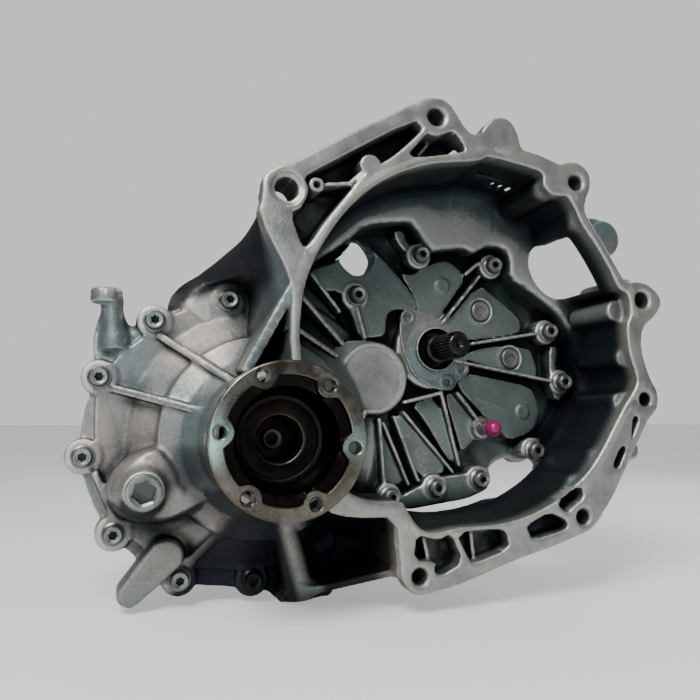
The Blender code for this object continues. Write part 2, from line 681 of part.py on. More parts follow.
def reverse_gears():
    finish(rod(IDLER, 7, 284, Y_END - 5.4, 10), "reverse_idler_shaft", STEEL)
    idler = gear(IDLER, REVERSE_IDLER, MODULE, IDLER_PHASE, REVERSE_SPAN, 7.3)
    finish(idler, "reverse_idler_gear", STEEL, at(IDLER))
    phase = mate_phase(IDLER_PHASE, REVERSE_IDLER, REVERSE_OUTPUT, direction(IDLER, OUTPUT))
    driven = gear(OUTPUT, REVERSE_OUTPUT, MODULE, phase, REVERSE_SPAN, OUTPUT_REAR_BORE)
    finish(driven, "reverse_gear_output", STEEL, at(OUTPUT))


def sleeve(key):
    sync = SYNCHRONISERS[key]
    inner = (sync.hub_radius + GAP) / math.cos(math.pi / 16)
    outer = sync.hub_radius + SLEEVE_WALL
    groove = 3.2  # half width
    profile = [
        (inner, -SLEEVE_HALF), (outer, -SLEEVE_HALF), (outer, -groove), (outer - 4, -groove),
        (outer - 4, groove), (outer, groove), (outer, SLEEVE_HALF), (inner, SLEEVE_HALF),
    ]
    made = turned(at(sync.axis), [(r, sync.middle + along) for r, along in profile], 16)
    finish(made, f"sleeve_{key[0]}_{key[1]}", STEEL, at(sync.axis))


# ---- differential ----------------------------------------------------------
def differential():
    centre = at(DIFF, PIN_Y)
    profile = [
        (16, 31.5), (24, 31.5), (24, 50), (46, 58), (46, 90), (58, 90), (58, 97.7), (46, 97.7),
        (46, 124), (30, 138), (24, 142), (24, 161), (16, 161), (16, 130), (31, 128), (36, 118),
        (36, 72), (31, 58), (16, 57),
    ]
    case = turned(at(DIFF), profile, 20)
    pin_hole = [(0, -62), (7.6, -62), (7.6, 62), (0, 62)]
    cut(
        case,
        box(DIFF[0] - 60, DIFF[0] + 60, 72, 86, DIFF[1] - 24, DIFF[1] + 24),  # side windows
        turned(centre, pin_hole, 8, axis="Z"),
    )
    finish(case, "differential_case", DARK, at(DIFF))

    phase = mate_phase(TO_DIFF, PINION_TEETH, RING_TEETH, TO_DIFF)
    ring_gear = gear(DIFF, RING_TEETH, FINAL_MODULE, phase, FINAL_SPAN)
    cut(ring_gear, rod(DIFF, 47, FINAL_SPAN[0] - 1, FINAL_SPAN[1] + 1, 20))
    finish(ring_gear, "ring_gear", STEEL, at(DIFF))

    pin = [(0, -45), (7, -45), (7, 45), (0, 45)]
    finish(turned(centre, pin, 8, axis="Z"), "spider_pin", STEEL, centre)

    # bevel gears, with distances from the differential's centre
    side_gear = [(12.3, 9), (14, 9), (25.5, 16.4), (26, 20), (22, 30), (12.3, 30)]
    spider_gear = [(7.3, 13), (8.5, 14), (16, 26.4), (14, 30), (7.3, 31)]
    for name, shape, sign, axis, origin in (
        ("side_gear_right", side_gear, -1, "Y", at(DIFF)),
        ("side_gear_left", side_gear, 1, "Y", at(DIFF)),
        ("spider_gear_upper", spider_gear, 1, "Z", centre),
        ("spider_gear_lower", spider_gear, -1, "Z", centre),
    ):
        bevel = turned(centre, [(r, sign * along) for r, along in shape], 16, axis=axis)
        finish(bevel, name, STEEL, origin)


def drive_flange(side, name):
    """side 1 is the engine side; side -1 mirrors its outer shape about MIRROR_Y."""

    def mirrored(y):
        return y if side == 1 else 2 * MIRROR_Y - y

    outside = [
        (0, -8), (7, -8), (7, -4), (29, -4), (31, -24), (38, -26), (38, DRIVE_FACE),
        (48.6, DRIVE_FACE), (DRIVE_R, DRIVE_FACE + 1.4), (DRIVE_R, -20), (34, -18), (34, 5),
        (15, 5.5), (15, 52), (12, 55),
    ]
    inner_end = PIN_Y - side * 10
    profile = [(r, mirrored(y)) for r, y in outside] + [(12, inner_end), (0, inner_end)]
    made = turned(at(DIFF), profile, 20)
    low, high = sorted((mirrored(DRIVE_FACE), mirrored(-22.5)))
    for lobe in circle(DIFF, LOBE_CIRCLE_R, 6, HOLE_PHASE):
        add(made, rod(lobe, 7.2, low, high, 8))
    low, high = sorted((mirrored(-34), mirrored(-15)))
    for hole in circle(DIFF, HOLE_CIRCLE_R, 6, HOLE_PHASE):
        cut(made, rod(hole, 4, low, high, 8))
    finish(made, name, FLANGE_STEEL, at(DIFF))


# ---- shift forks and selectors ---------------------------------------------
def shift_fork(key):
    """A rod along Y and a forked plate whose legs run in the sleeve's groove."""
    sync = SYNCHRONISERS[key]
    made = rod(sync.rod_axis, 6, *sync.rod_span, 8)
    plate_span = (sync.middle - 2.6, sync.middle + 2.6)
    cut_span = (sync.middle - 4, sync.middle + 4)
    centre = Vector(sync.axis)
    to_rod = (Vector(sync.rod_axis) - centre).normalized()
    side = Vector((-to_rod.y, to_rod.x))
    reach = sync.hub_radius + SLEEVE_WALL + 7
    plate = prism([
        centre + to_rod * reach + side * 9,
        centre + to_rod * 6 + side * reach,
        centre - to_rod * 8 + side * reach,
        centre - to_rod * 8 - side * reach,
        centre + to_rod * 6 - side * reach,
        centre + to_rod * reach - side * 9,
    ], *plate_span)
    add(plate, bar(centre + to_rod * (reach - 3), sync.rod_axis, 14, *plate_span))
    add(made, plate)
    # round the groove, and open on the side away from the rod
    cut(made, rod(sync.axis, sync.hub_radius + 5.9, *cut_span, 18))
    half_mouth = sync.hub_radius + 5.5
    cut(made, prism([
        centre - to_rod * 60 + side * half_mouth,
        centre + side * half_mouth,
        centre - side * half_mouth,
        centre - to_rod * 60 - side * half_mouth,
    ], *cut_span))
    finish(made, f"shift_fork_{key}", BRASS, at(sync.rod_axis, sync.middle))


def selector_cover():
    profile = [
        (8.4, 70), (16.6, 70), (16.6, 76.4), (30, 76.4), (30, 84), (20, 88), (17, 110),
        (8.4, 110),
    ]
    tower = turned(SELECT_AXIS, profile, 16, axis="Z")
    # post that carries the relay lever, and the web to it
    x_low, x_high = SELECT_X - 6, SELECT_X + 6
    add(
        tower,
        box(x_low, x_high, SELECT_Y + 31, SELECT_Y + 41, 84, 128),
        box(x_low, x_high, SELECT_Y + 10, SELECT_Y + 36, 84, 92),
    )
    cut(tower, turned(RELAY, [(0, -12), (3.3, -12), (3.5, 12), (0, 12)], 8, axis="X"))
    finish(tower, "selector_cover", CAST)


def selector_shaft():
    profile = [(0, 50), (8, 50), (8, 136), (6, 138), (6, 146), (0, 146)]
    shaft = turned(SELECT_AXIS, profile, 10, axis="Z")
    # finger
    add(shaft, box(SELECT_X - 5, SELECT_X + 5, SELECT_Y - 15, SELECT_Y, 54, 62))
    finish(shaft, "selector_shaft", STEEL, (SELECT_X, SELECT_Y, 90))


def selector_lever():
    lever = box(SELECT_X - 62, SELECT_X + 2, SELECT_Y - 9, SELECT_Y + 9, 140.5, 145.5)
    boss = [(0, 138.5), (12, 138.5), (12, 150), (0, 150)]
    end_pin = [(0, 140.5), (6, 140.5), (5, 158), (0, 160)]
    bore = [(0, 130), (6.3, 130), (6.6, 146.4), (0, 146.4)]
    add(
        lever,
        turned(SELECT_AXIS, boss, 10, axis="Z"),
        turned((SELECT_X - 56, SELECT_Y, 0), end_pin, 8, axis="Z"),
    )
    cut(lever, turned(SELECT_AXIS, bore, 10, axis="Z"))
    finish(lever, "selector_lever", DARK, (SELECT_X, SELECT_Y, 142))


def select_collar():
    profile = [
        (8.3, 117), (14, 117), (14, 120), (11, 120), (11, 125), (14, 125), (14, 128), (8.3, 128),
    ]
    collar = turned(SELECT_AXIS, profile, 12, axis="Z")
    finish(collar, "select_collar", BRASS, (SELECT_X, SELECT_Y, COLLAR_Z))


def relay_lever():
    relay = turned(RELAY, [(0, -11), (3, -11), (3, 11), (0, 11)], 8, axis="X")
    collar_pin = [(0, -2), (1.5, -2), (1.5, 10), (0, 10)]
    end_pin = [(0, 1), (5, 1), (5, 13), (0, 15)]
    add(
        relay,
        box(SELECT_X + 9, SELECT_X + 12, SELECT_Y + 11.7, SELECT_Y + 78, 117, 127),
        turned((SELECT_X, SELECT_Y + 13.2, 122.5), collar_pin, 6, axis="X"),
        turned((SELECT_X + 9, SELECT_Y + 72, COLLAR_Z), end_pin, 8, axis="X"),
    )
    finish(relay, "relay_lever", DARK, RELAY)


def parent_to_root():
    """Hangs every piece on an empty that moves the input shaft's front end to the origin."""
    root = bpy.data.objects.new("transmission", None)
    bpy.context.collection.objects.link(root)
    root.location = (0.0, -SHAFT_END * MM, 0.0)
    for made in [o for o in bpy.data.objects if o.type == "MESH"]:
        made.parent = root


clutch_housing()
gear_case()
end_cover()
bolts("bell_bolt", BELL_BOLTS, BELL_SEAT)
bolts("case_bolt", DIFF_BOLTS, DIFF_SEAT)
filler_plug()
release_guide_plate()
release_pivot()
seal_and_bearings()
input_shaft()
output_shaft()
loose_gears()
reverse_gears()
differential()
drive_flange(1, "drive_flange_right")
drive_flange(-1, "drive_flange_left")
for sync_key in SYNCHRONISERS:
    sleeve(sync_key)
    shift_fork(sync_key)
selector_cover()
selector_shaft()
selector_lever()
select_collar()
relay_lever()
parent_to_root()
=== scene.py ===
"""A manual transmission: cast housings, fasteners, input shaft, drive flanges and their finishes.

Lengths are millimetres, measured as on the part: X away from the differential, Y along the shafts
from the engine face, Z up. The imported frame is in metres, with its origin at the input shaft's end.
"""

import math

import bmesh
import bpy
import numpy as np
from mathutils import Matrix, Vector


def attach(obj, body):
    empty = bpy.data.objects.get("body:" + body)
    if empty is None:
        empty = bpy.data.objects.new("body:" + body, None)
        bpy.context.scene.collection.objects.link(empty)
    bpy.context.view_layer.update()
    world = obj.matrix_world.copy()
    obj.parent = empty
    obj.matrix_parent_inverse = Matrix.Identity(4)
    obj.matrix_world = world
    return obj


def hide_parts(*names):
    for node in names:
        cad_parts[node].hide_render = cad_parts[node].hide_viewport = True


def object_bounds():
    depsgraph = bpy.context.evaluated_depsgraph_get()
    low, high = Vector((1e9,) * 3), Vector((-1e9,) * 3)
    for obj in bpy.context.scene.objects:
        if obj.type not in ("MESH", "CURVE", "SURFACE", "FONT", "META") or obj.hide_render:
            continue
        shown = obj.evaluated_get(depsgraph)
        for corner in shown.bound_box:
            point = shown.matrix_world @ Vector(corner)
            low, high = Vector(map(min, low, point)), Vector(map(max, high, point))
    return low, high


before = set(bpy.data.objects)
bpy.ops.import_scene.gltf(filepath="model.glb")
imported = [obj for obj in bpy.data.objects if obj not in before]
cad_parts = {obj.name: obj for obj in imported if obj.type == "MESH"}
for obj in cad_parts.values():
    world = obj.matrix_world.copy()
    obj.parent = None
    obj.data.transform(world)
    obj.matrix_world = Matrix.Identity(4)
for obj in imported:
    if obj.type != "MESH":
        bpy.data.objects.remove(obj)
cad_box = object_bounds()

MM = 0.001
SHAFT_END = 28  # Y of the input shaft's end
JOINT_GAP = 0.3
JOINT = 92  # Y where the clutch housing ends
CASE_FACE = JOINT + JOINT_GAP
CASE_END = 264
COVER_FACE = CASE_END + JOINT_GAP


def rows(text):
    """Reads a table: numbers are parted by commas and rows by spaces. An outline's rows are x,z."""
    return [tuple(map(float, row.split(","))) for row in text.split()]


# places that several pieces share, X and Z
INPUT = (0, 0)
OUTPUT = (-55, -25)
DIFF = (-148, -71)
FILLER = (-231, -105.5)
STUD = (43, -65)
BELL_BOLTS = rows("-14,78 54,74 108,19 121,-25 91,-84 38,-107 -2,-113 -42,-119 -70,41")
DIFF_BOLTS = rows("-171,32 -225,14 -262,-28 -271,-84 -249,-138 -203,-172 -150,-176")
PLATE_HOLES = rows("-24,26 11,-27 25,-15")
CORE_PLUGS = rows("45,35 73,-5")


# ---- shapes in the X and Z plane -------------------------------------------
def smooth_min(one, two, radius):
    if radius <= 0:
        return np.minimum(one, two)
    overlap = np.maximum(radius - np.abs(one - two), 0)
    return np.minimum(one, two) - overlap * overlap * (0.25 / radius)


def smooth_max(one, two, radius):
    return -smooth_min(-one, -two, radius)


class Flat:
    """A signed distance, negative inside, and its bounds (x0, x1, z0, z1)."""

    def __init__(self, distance, box):
        self.distance = distance
        self.box = box

    def grow(self, by):
        x0, x1, z0, z1 = self.box
        box = (x0 - by, x1 + by, z0 - by, z1 + by)
        return Flat(lambda x, z: self.distance(x, z) - by, box)


def soften(points, times, share):
    """Cuts an outline's corners, so that it runs in curves as a pattern maker would draw it."""
    for _ in range(times):
        made = []
        for (ax, az), (bx, bz) in zip(points, points[1:] + points[:1]):
            made.append((ax + (bx - ax) * share, az + (bz - az) * share))
            made.append((bx - (bx - ax) * share, bz - (bz - az) * share))
        points = made
    return points


def outline(points, times=1, share=0.22):
    """A closed outline, given as points or as the text of a table."""
    points = soften(rows(points) if isinstance(points, str) else points, times, share)
    xs, zs = zip(*points)

    def distance(x, z):
        shape = np.broadcast(x, z).shape
        best = np.full(shape, 1e9, np.float32)
        inside = np.zeros(shape, bool)
        for (x0, z0), (x1, z1) in zip(points, points[1:] + points[:1]):
            ex, ez = x1 - x0, z1 - z0
            wx, wz = x - x0, z - z0
            t = np.clip((wx * ex + wz * ez) / (ex * ex + ez * ez + 1e-9), 0, 1)
            dx, dz = wx - ex * t, wz - ez * t
            best = np.minimum(best, dx * dx + dz * dz)
            if z0 != z1:
                inside ^= ((z0 > z) != (z1 > z)) & (x < ex * (z - z0) / ez + x0)
        best = np.sqrt(best)
        return np.where(inside, -best, best).astype(np.float32)

    return Flat(distance, (min(xs), max(xs), min(zs), max(zs)))


def disc(cx, cz, r):
    return Flat(
        lambda x, z: (np.hypot(x - cx, z - cz) - r).astype(np.float32),
        (cx - r, cx + r, cz - r, cz + r),
    )


def along(x0, z0, x1, z1):
    """Gives the function for how far a place lies on the way from one point to the other."""
    ex, ez = x1 - x0, z1 - z0
    return lambda x, z: np.clip(((x - x0) * ex + (z - z0) * ez) / (ex * ex + ez * ez), 0, 1)


def strip(x0, z0, x1, z1, half, half_end=None):
    """A bar with round ends, which may taper."""
    half_end = half if half_end is None else half_end
    ex, ez = x1 - x0, z1 - z0
    share = along(x0, z0, x1, z1)

    def distance(x, z):
        t = share(x, z)
        reach = half + (half_end - half) * t
        return (np.hypot(x - x0 - ex * t, z - z0 - ez * t) - reach).astype(np.float32)

    r = max(half, half_end)
    return Flat(distance, (min(x0, x1) - r, max(x0, x1) + r, min(z0, z1) - r, max(z0, z1) + r))


# ---- castings: a distance field on a grid, skinned with a smooth surface ----
CORNERS = [(a, b, c) for a in (0, 1) for b in (0, 1) for c in (0, 1)]


def box_blur(field, reach):
    for axis in range(3):
        a = np.moveaxis(field, axis, 0)
        start = np.zeros((1,) + a.shape[1:], np.float32)
        total = np.concatenate([start, np.cumsum(a, 0, dtype=np.float32)])
        top = np.minimum(np.arange(len(a)) + reach + 1, len(a))
        low = np.maximum(np.arange(len(a)) - reach, 0)
        field = np.moveaxis((total[top] - total[low]) / (2 * reach + 1), 0, axis)
    return field


def apply_modifiers(made):
    graph = bpy.context.evaluated_depsgraph_get()
    shaped = bpy.data.meshes.new_from_object(made.evaluated_get(graph))
    made.modifiers.clear()
    old = made.data
    made.data = shaped
    bpy.data.meshes.remove(old)


class Casting:
    """A field on an X, Z, Y grid, into which shapes are blended in turn.

    Shapes are Flats or outline tables, swept from y0 to y1. `blend` is the fillet to what is
    there, `soft` rounds the shape's own edges, `draft` narrows it as Y grows, and `end` is its
    shape at y1 where that differs.
    """

    def __init__(self, low, high, step):
        self.step = step
        self.axes = [np.arange(a, b + step, step, dtype=np.float32) for a, b in zip(low, high)]
        self.low = [float(axis[0]) for axis in self.axes]
        nx, ny, nz = map(len, self.axes)
        self.field = np.full((nx, nz, ny), 40, np.float32)
        self.machined_faces = []  # (Flat, Y): these change the finish, not the shape
        self.shades = []  # rules that darken the finish
        # Marks on each point, zero unless set: where the painted tint of the light inside the bell goes,
        # and where the bell's walls get painted shade.
        self.marks = {"bell_light_tint": lambda co: np.zeros(len(co)), "wall": lambda co: np.zeros(len(co))}

    def window(self, x0, x1, y0, y1, z0, z1, pad):
        cuts = []
        for axis, a, b in zip(self.axes, (x0, y0, z0), (x1, y1, z1)):
            i, j = np.searchsorted(axis, [a - pad, b + pad])
            cuts.append(slice(max(0, int(i)), min(len(axis), int(j) + 1)))
        sx, sy, sz = cuts
        x, y, z = (axis[cut] for axis, cut in zip(self.axes, cuts))
        return (sx, sz, sy), x[:, None], y, z[None, :]

    def join(self, at, distance, blend, take):
        old = self.field[at]
        if take:
            self.field[at] = smooth_max(old, -distance, blend)
        else:
            self.field[at] = smooth_min(old, distance, blend)

    def prism(self, shape, y0, y1, blend, soft, draft, end, take, slope=None):
        shape = outline(shape) if isinstance(shape, str) else shape
        end = outline(end) if isinstance(end, str) else end
        box = shape.box
        if end is not None:
            box = tuple(f(a, b) for f, a, b in zip((min, max, min, max), box, end.box))
        pad = 2.5 * self.step + max(blend, soft) + abs(draft) * (y1 - y0)
        at, x, y, z = self.window(box[0], box[1], y0, y1, box[2], box[3], pad)
        distance = shape.distance(x, z)[:, :, None]
        y = y[None, None, :]
        if end is not None:
            t = np.clip((y - y0) / (y1 - y0), 0, 1)
            distance = distance * (1 - t) + end.distance(x, z)[:, :, None] * t
        if draft:
            distance = distance + draft * (y - y0)
        low = y0 if slope is None else y0 + slope(x, z)[:, :, None]
        caps = np.maximum(low - y, y - y1)
        self.join(at, smooth_max(distance, caps, soft), blend, take)

    def add(self, shape, y0, y1, blend=3.0, soft=1.5, draft=0.0, end=None):
        self.prism(shape, y0, y1, blend, soft, draft, end, False)

    def cut(self, shape, y0, y1, blend=1.0, soft=1.5, draft=0.0, end=None):
        self.prism(shape, y0, y1, blend, soft, draft, end, True)

    def rib(self, x0, z0, x1, z1, half, y_start, y_end, y_back, blend=2.5, soft=1.2):
        """A web whose edge towards the engine runs straight from y_start to y_end."""
        share = along(x0, z0, x1, z1)
        y0 = min(y_start, y_end)
        self.prism(
            strip(x0, z0, x1, z1, half), y0, y_back, blend, soft, 0.0, None, False,
            lambda x, z: y_start - y0 + (y_end - y_start) * share(x, z),
        )

    def ribs(self, table):
        for row in rows(table):
            self.rib(*row)

    def fin(self, x0, z0, x1, z1, half, y_front, y_start, y_end, blend):
        """A web whose edge away from the engine runs straight from y_start to y_end."""
        bar = strip(x0, z0, x1, z1, half)
        share = along(x0, z0, x1, z1)

        def distance(x, y, z):
            rear = y - (y_start + (y_end - y_start) * share(x, z))
            return smooth_max(bar.distance(x, z), np.maximum(y_front - y, rear), 1.2)

        left, right, bottom, top = bar.box
        self.solid(distance, (left, right, y_front, max(y_start, y_end), bottom, top), blend)

    def turned(self, centre, profile, blend=3.0, take=False):
        """A solid of revolution about an axis along Y, from its table of radius,Y."""
        flat = outline(profile, 0)
        reach, y0, y1 = flat.box[1:]
        cx, cz = centre
        pad = blend + 2.5 * self.step
        at, x, y, z = self.window(cx - reach, cx + reach, y0, y1, cz - reach, cz + reach, pad)
        radii = np.arange(0, reach * 1.5 + 3 * blend + 20, 0.5, dtype=np.float32)
        table = flat.distance(radii[:, None], y[None, :])
        place = np.hypot(x - cx, z - cz) / 0.5
        i = np.minimum(place.astype(np.int32), len(radii) - 2)
        t = (place - i).astype(np.float32)[:, :, None]
        self.join(at, table[i] * (1 - t) + table[i + 1] * t, blend, take)

    def solid(self, distance, box, blend=3.0, take=False):
        """Any shape given as a distance of X, Y and Z."""
        at, x, y, z = self.window(*box, blend + 2.5 * self.step)
        found = distance(x[:, :, None], y[None, None, :], z[:, :, None]).astype(np.float32)
        self.join(at, found, blend, take)

    def keep_inside(self, low, high):
        x, y, z = self.axes
        places = (x[:, None, None], y[None, None, :], z[None, :, None])
        for at, a, b in zip(places, low, high):
            np.maximum(self.field, np.maximum(a - at, at - b), out=self.field)

    def surface(self):
        """One point in each cell that the surface crosses, joined by quads."""
        field = self.field
        for axis in range(3):
            side = np.moveaxis(field, axis, 0)
            side[0] = side[-1] = 5
        solid = field < 0
        nx, nz, ny = (n - 1 for n in field.shape)
        count = np.zeros((nx, nz, ny), np.int8)
        for a, b, c in CORNERS:
            count += solid[a:a + nx, b:b + nz, c:c + ny]
        live = (count > 0) & (count < 8)
        i, j, m = np.nonzero(live)
        index = np.full(live.shape, -1, np.int32)
        index[live] = np.arange(len(i), dtype=np.int32)
        value = {o: field[i + o[0], j + o[1], m + o[2]] for o in CORNERS}
        place = np.zeros((len(i), 3), np.float32)
        hits = np.zeros(len(i), np.float32)
        for one in CORNERS:
            for other in CORNERS:
                if sum(other) - sum(one) == 1 and all(q >= p for p, q in zip(one, other)):
                    va, vb = value[one], value[other]
                    crossed = (va < 0) != (vb < 0)
                    t = (va / (va - vb + 1e-12))[crossed, None]
                    a, b = np.array(one, np.float32), np.array(other, np.float32)
                    place[crossed] += a + (b - a) * t
                    hits[crossed] += 1
        place /= hits[:, None]
        grid = place + np.stack([i, j, m], 1)
        co = np.empty_like(grid)
        for axis, column in enumerate((0, 2, 1)):
            co[:, axis] = self.low[axis] + grid[:, column] * self.step
        quads = []
        for axis in range(3):
            one, two = (axis + 1) % 3, (axis + 2) % 3
            take = [slice(1, -1)] * 3
            take[axis] = slice(0, -1)
            here = solid[tuple(take)]
            take[axis] = slice(1, None)
            change = here != solid[tuple(take)]
            cell = np.array(np.nonzero(change)).T
            keep = here[change]
            cell[:, one] += 1
            cell[:, two] += 1
            ring = []
            for du, dv in ((0, 0), (-1, 0), (-1, -1), (0, -1)):
                c = cell.copy()
                c[:, one] += du
                c[:, two] += dv
                ring.append(index[c[:, 0], c[:, 1], c[:, 2]])
            quad = np.stack(ring, 1)
            quad[~keep] = quad[~keep][:, ::-1]
            quads.append(quad[:, ::-1])
        return co, np.concatenate(quads)

    def skin(self, name, most):
        """Makes the casting's object, thinned to about `most` triangles."""
        co, quads = self.surface()
        data = bpy.data.meshes.new(name)
        data.vertices.add(len(co))
        moved = co.astype(np.float32) * MM
        moved[:, 1] -= SHAFT_END * MM
        data.vertices.foreach_set("co", moved.ravel())
        data.loops.add(quads.size)
        data.loops.foreach_set("vertex_index", quads.ravel().astype(np.int32))
        data.polygons.add(len(quads))
        data.polygons.foreach_set("loop_start", np.arange(0, quads.size, 4, dtype=np.int32))
        data.update(calc_edges=True)
        made = bpy.data.objects.new(name, data)
        bpy.context.scene.collection.objects.link(made)
        if len(quads) * 2 > most:
            thin = made.modifiers.new("thin", "DECIMATE")
            thin.ratio = most / (len(quads) * 2)
            apply_modifiers(made)
            made.data.name = name
        self.finish(made.data)
        return made

    def sample(self, field, step, points):
        """Reads a field between its grid points."""
        where = [
            np.clip((points[:, k] - self.low[k]) / step, 0, field.shape[side] - 1.001)
            for k, side in ((0, 0), (2, 1), (1, 2))
        ]
        base = [v.astype(np.int32) for v in where]
        t = [v - w for v, w in zip(where, base)]
        got = 0
        for a, b, c in CORNERS:
            share = (t[0] if a else 1 - t[0]) * (t[1] if b else 1 - t[1]) * (t[2] if c else 1 - t[2])
            got = got + share * field[base[0] + a, base[1] + b, base[2] + c]
        return got

    def finish(self, data):
        """Notes on each point how enclosed it is, how near an edge, and whether it is machined."""
        size = len(data.vertices)
        co = np.empty(size * 3, np.float32)
        data.vertices.foreach_get("co", co)
        co = co.reshape(-1, 3) / MM
        co[:, 1] += SHAFT_END
        normal = np.empty(size * 3, np.float32)
        data.vertex_normals.foreach_get("vector", normal)
        normal = normal.reshape(-1, 3)
        coarse = (self.field[::2, ::2, ::2] < 0).astype(np.float32)
        coarse_step = 2 * self.step

        def crowding(reach, off):
            """The share of metal within reach of a place off the surface."""
            near = box_blur(coarse, max(1, round(reach / coarse_step)))
            return self.sample(near, coarse_step, co + normal * off)

        hollow = crowding(8, 7.0)
        deep = crowding(22, 20.0) if max(coarse.shape) * coarse_step > 150 else hollow * 0
        edge = self.sample(box_blur((self.field < 0).astype(np.float32), 1), self.step, co)
        machined = np.zeros(size, np.float32)
        for flat, y in self.machined_faces:
            near = (np.abs(co[:, 1] - y) < 0.6) & (normal[:, 1] < -0.8)
            near[near] = flat.distance(co[near, 0], co[near, 2]) < 0.3
            machined[near] = 1
        shade = np.zeros(size, np.float32)
        for rule in self.shades:
            shade = np.maximum(shade, rule(co, normal))
        marks = {"hollow": hollow, "deep": deep, "edge": edge, "machined": machined, "shade": shade}
        for key, rule in self.marks.items():
            marks[key] = rule(co)
        for key, values in marks.items():
            layer = data.attributes.new(key, "FLOAT", "POINT")
            layer.data.foreach_set("value", values.astype(np.float32))
        data.shade_smooth()
        data.set_sharp_from_angle(angle=math.radians(50))


def step(values, low, high):
    t = np.clip((values - low) / (high - low), 0, 1)
    return t * t * (3 - 2 * t)


# ---- finishes --------------------------------------------------------------
class Nodes:
    """A small helper for building a material's nodes."""

    def __init__(self, name):
        self.material = bpy.data.materials.new(name)
        self.material.use_nodes = True
        self.tree = self.material.node_tree
        self.shader = self.tree.nodes["Principled BSDF"]
        self.where = self.make("ShaderNodeTexCoord").outputs["Object"]

    def make(self, kind, **values):
        node = self.tree.nodes.new(kind)
        for key, value in values.items():
            setattr(node, key, value)
        return node

    def put(self, socket, value):
        if isinstance(value, bpy.types.NodeSocket):
            self.tree.links.new(value, socket)
        elif isinstance(value, tuple) and len(value) == 3 and socket.type == "RGBA":
            socket.default_value = (*value, 1.0)
        else:
            socket.default_value = value

    def fill(self, node, **values):
        """Sets inputs by name; an underscore stands for a space."""
        for key, value in values.items():
            self.put(node.inputs[key.replace("_", " ")], value)

    def noise(self, scale, detail=3, roughness=0.55, stretch=None):
        node = self.make("ShaderNodeTexNoise")
        place = self.where
        if stretch:
            mapping = self.make("ShaderNodeMapping")
            self.fill(mapping, Scale=stretch, Vector=place)
            place = mapping.outputs["Vector"]
        self.fill(node, Vector=place, Scale=scale, Detail=detail, Roughness=roughness)
        return node.outputs["Fac"]

    def ramp(self, value, low, high, out_low=0, out_high=1):
        node = self.make("ShaderNodeMapRange", clamp=True, interpolation_type="SMOOTHSTEP")
        self.fill(node, Value=value, From_Min=low, From_Max=high, To_Min=out_low, To_Max=out_high)
        return node.outputs["Result"]

    def patches(self, scale, low, high, out_low=0, out_high=1, detail=3, roughness=0.55):
        return self.ramp(self.noise(scale, detail, roughness), low, high, out_low, out_high)

    def mix(self, share, one, two, kind="MIX"):
        node = self.make("ShaderNodeMix", data_type="RGBA", blend_type=kind)
        for index, value in ((0, share), (6, one), (7, two)):
            self.put(node.inputs[index], value)
        return node.outputs[2]

    def math(self, kind, one, two=0.0):
        node = self.make("ShaderNodeMath", operation=kind)
        self.put(node.inputs[0], one)
        self.put(node.inputs[1], two)
        return node.outputs[0]

    # Mixes a tint into a colour by a mask: used for real stains and wear, and also for painted light and
    # shade.
    def stain_and_light(self, colour, mask, amount, tint):
        return self.mix(self.math("MULTIPLY", mask, amount), colour, tint)

    def speckle(self, colour, speck):
        return self.mix(1.0, colour, self.mix(speck, (0, 0, 0), (1, 1, 1)), "MULTIPLY")

    def mark(self, name):
        return self.make("ShaderNodeAttribute", attribute_name=name).outputs["Fac"]

    def ragged(self, name, scale, amount, detail=3):
        """A mark with noise added, so that its border isn't even."""
        return self.math("ADD", self.mark(name), self.math("MULTIPLY", self.noise(scale, detail), amount))

    def along_y(self, vector):
        node = self.make("ShaderNodeSeparateXYZ")
        self.put(node.inputs[0], vector)
        return node.outputs["Y"]

    def bump(self, height, strength, distance, after=None):
        node = self.make("ShaderNodeBump")
        self.fill(node, Strength=strength, Distance=distance, Height=height)
        if after is not None:
            self.fill(node, Normal=after)
        return node.outputs["Normal"]

    def close(self, colour, roughness, metallic, normal, coat=0.0):
        self.fill(self.shader, Base_Color=colour, Roughness=roughness, Metallic=metallic, Normal=normal)
        if coat:
            self.fill(self.shader, Coat_Weight=coat, Coat_Roughness=0.08)
        return self.material


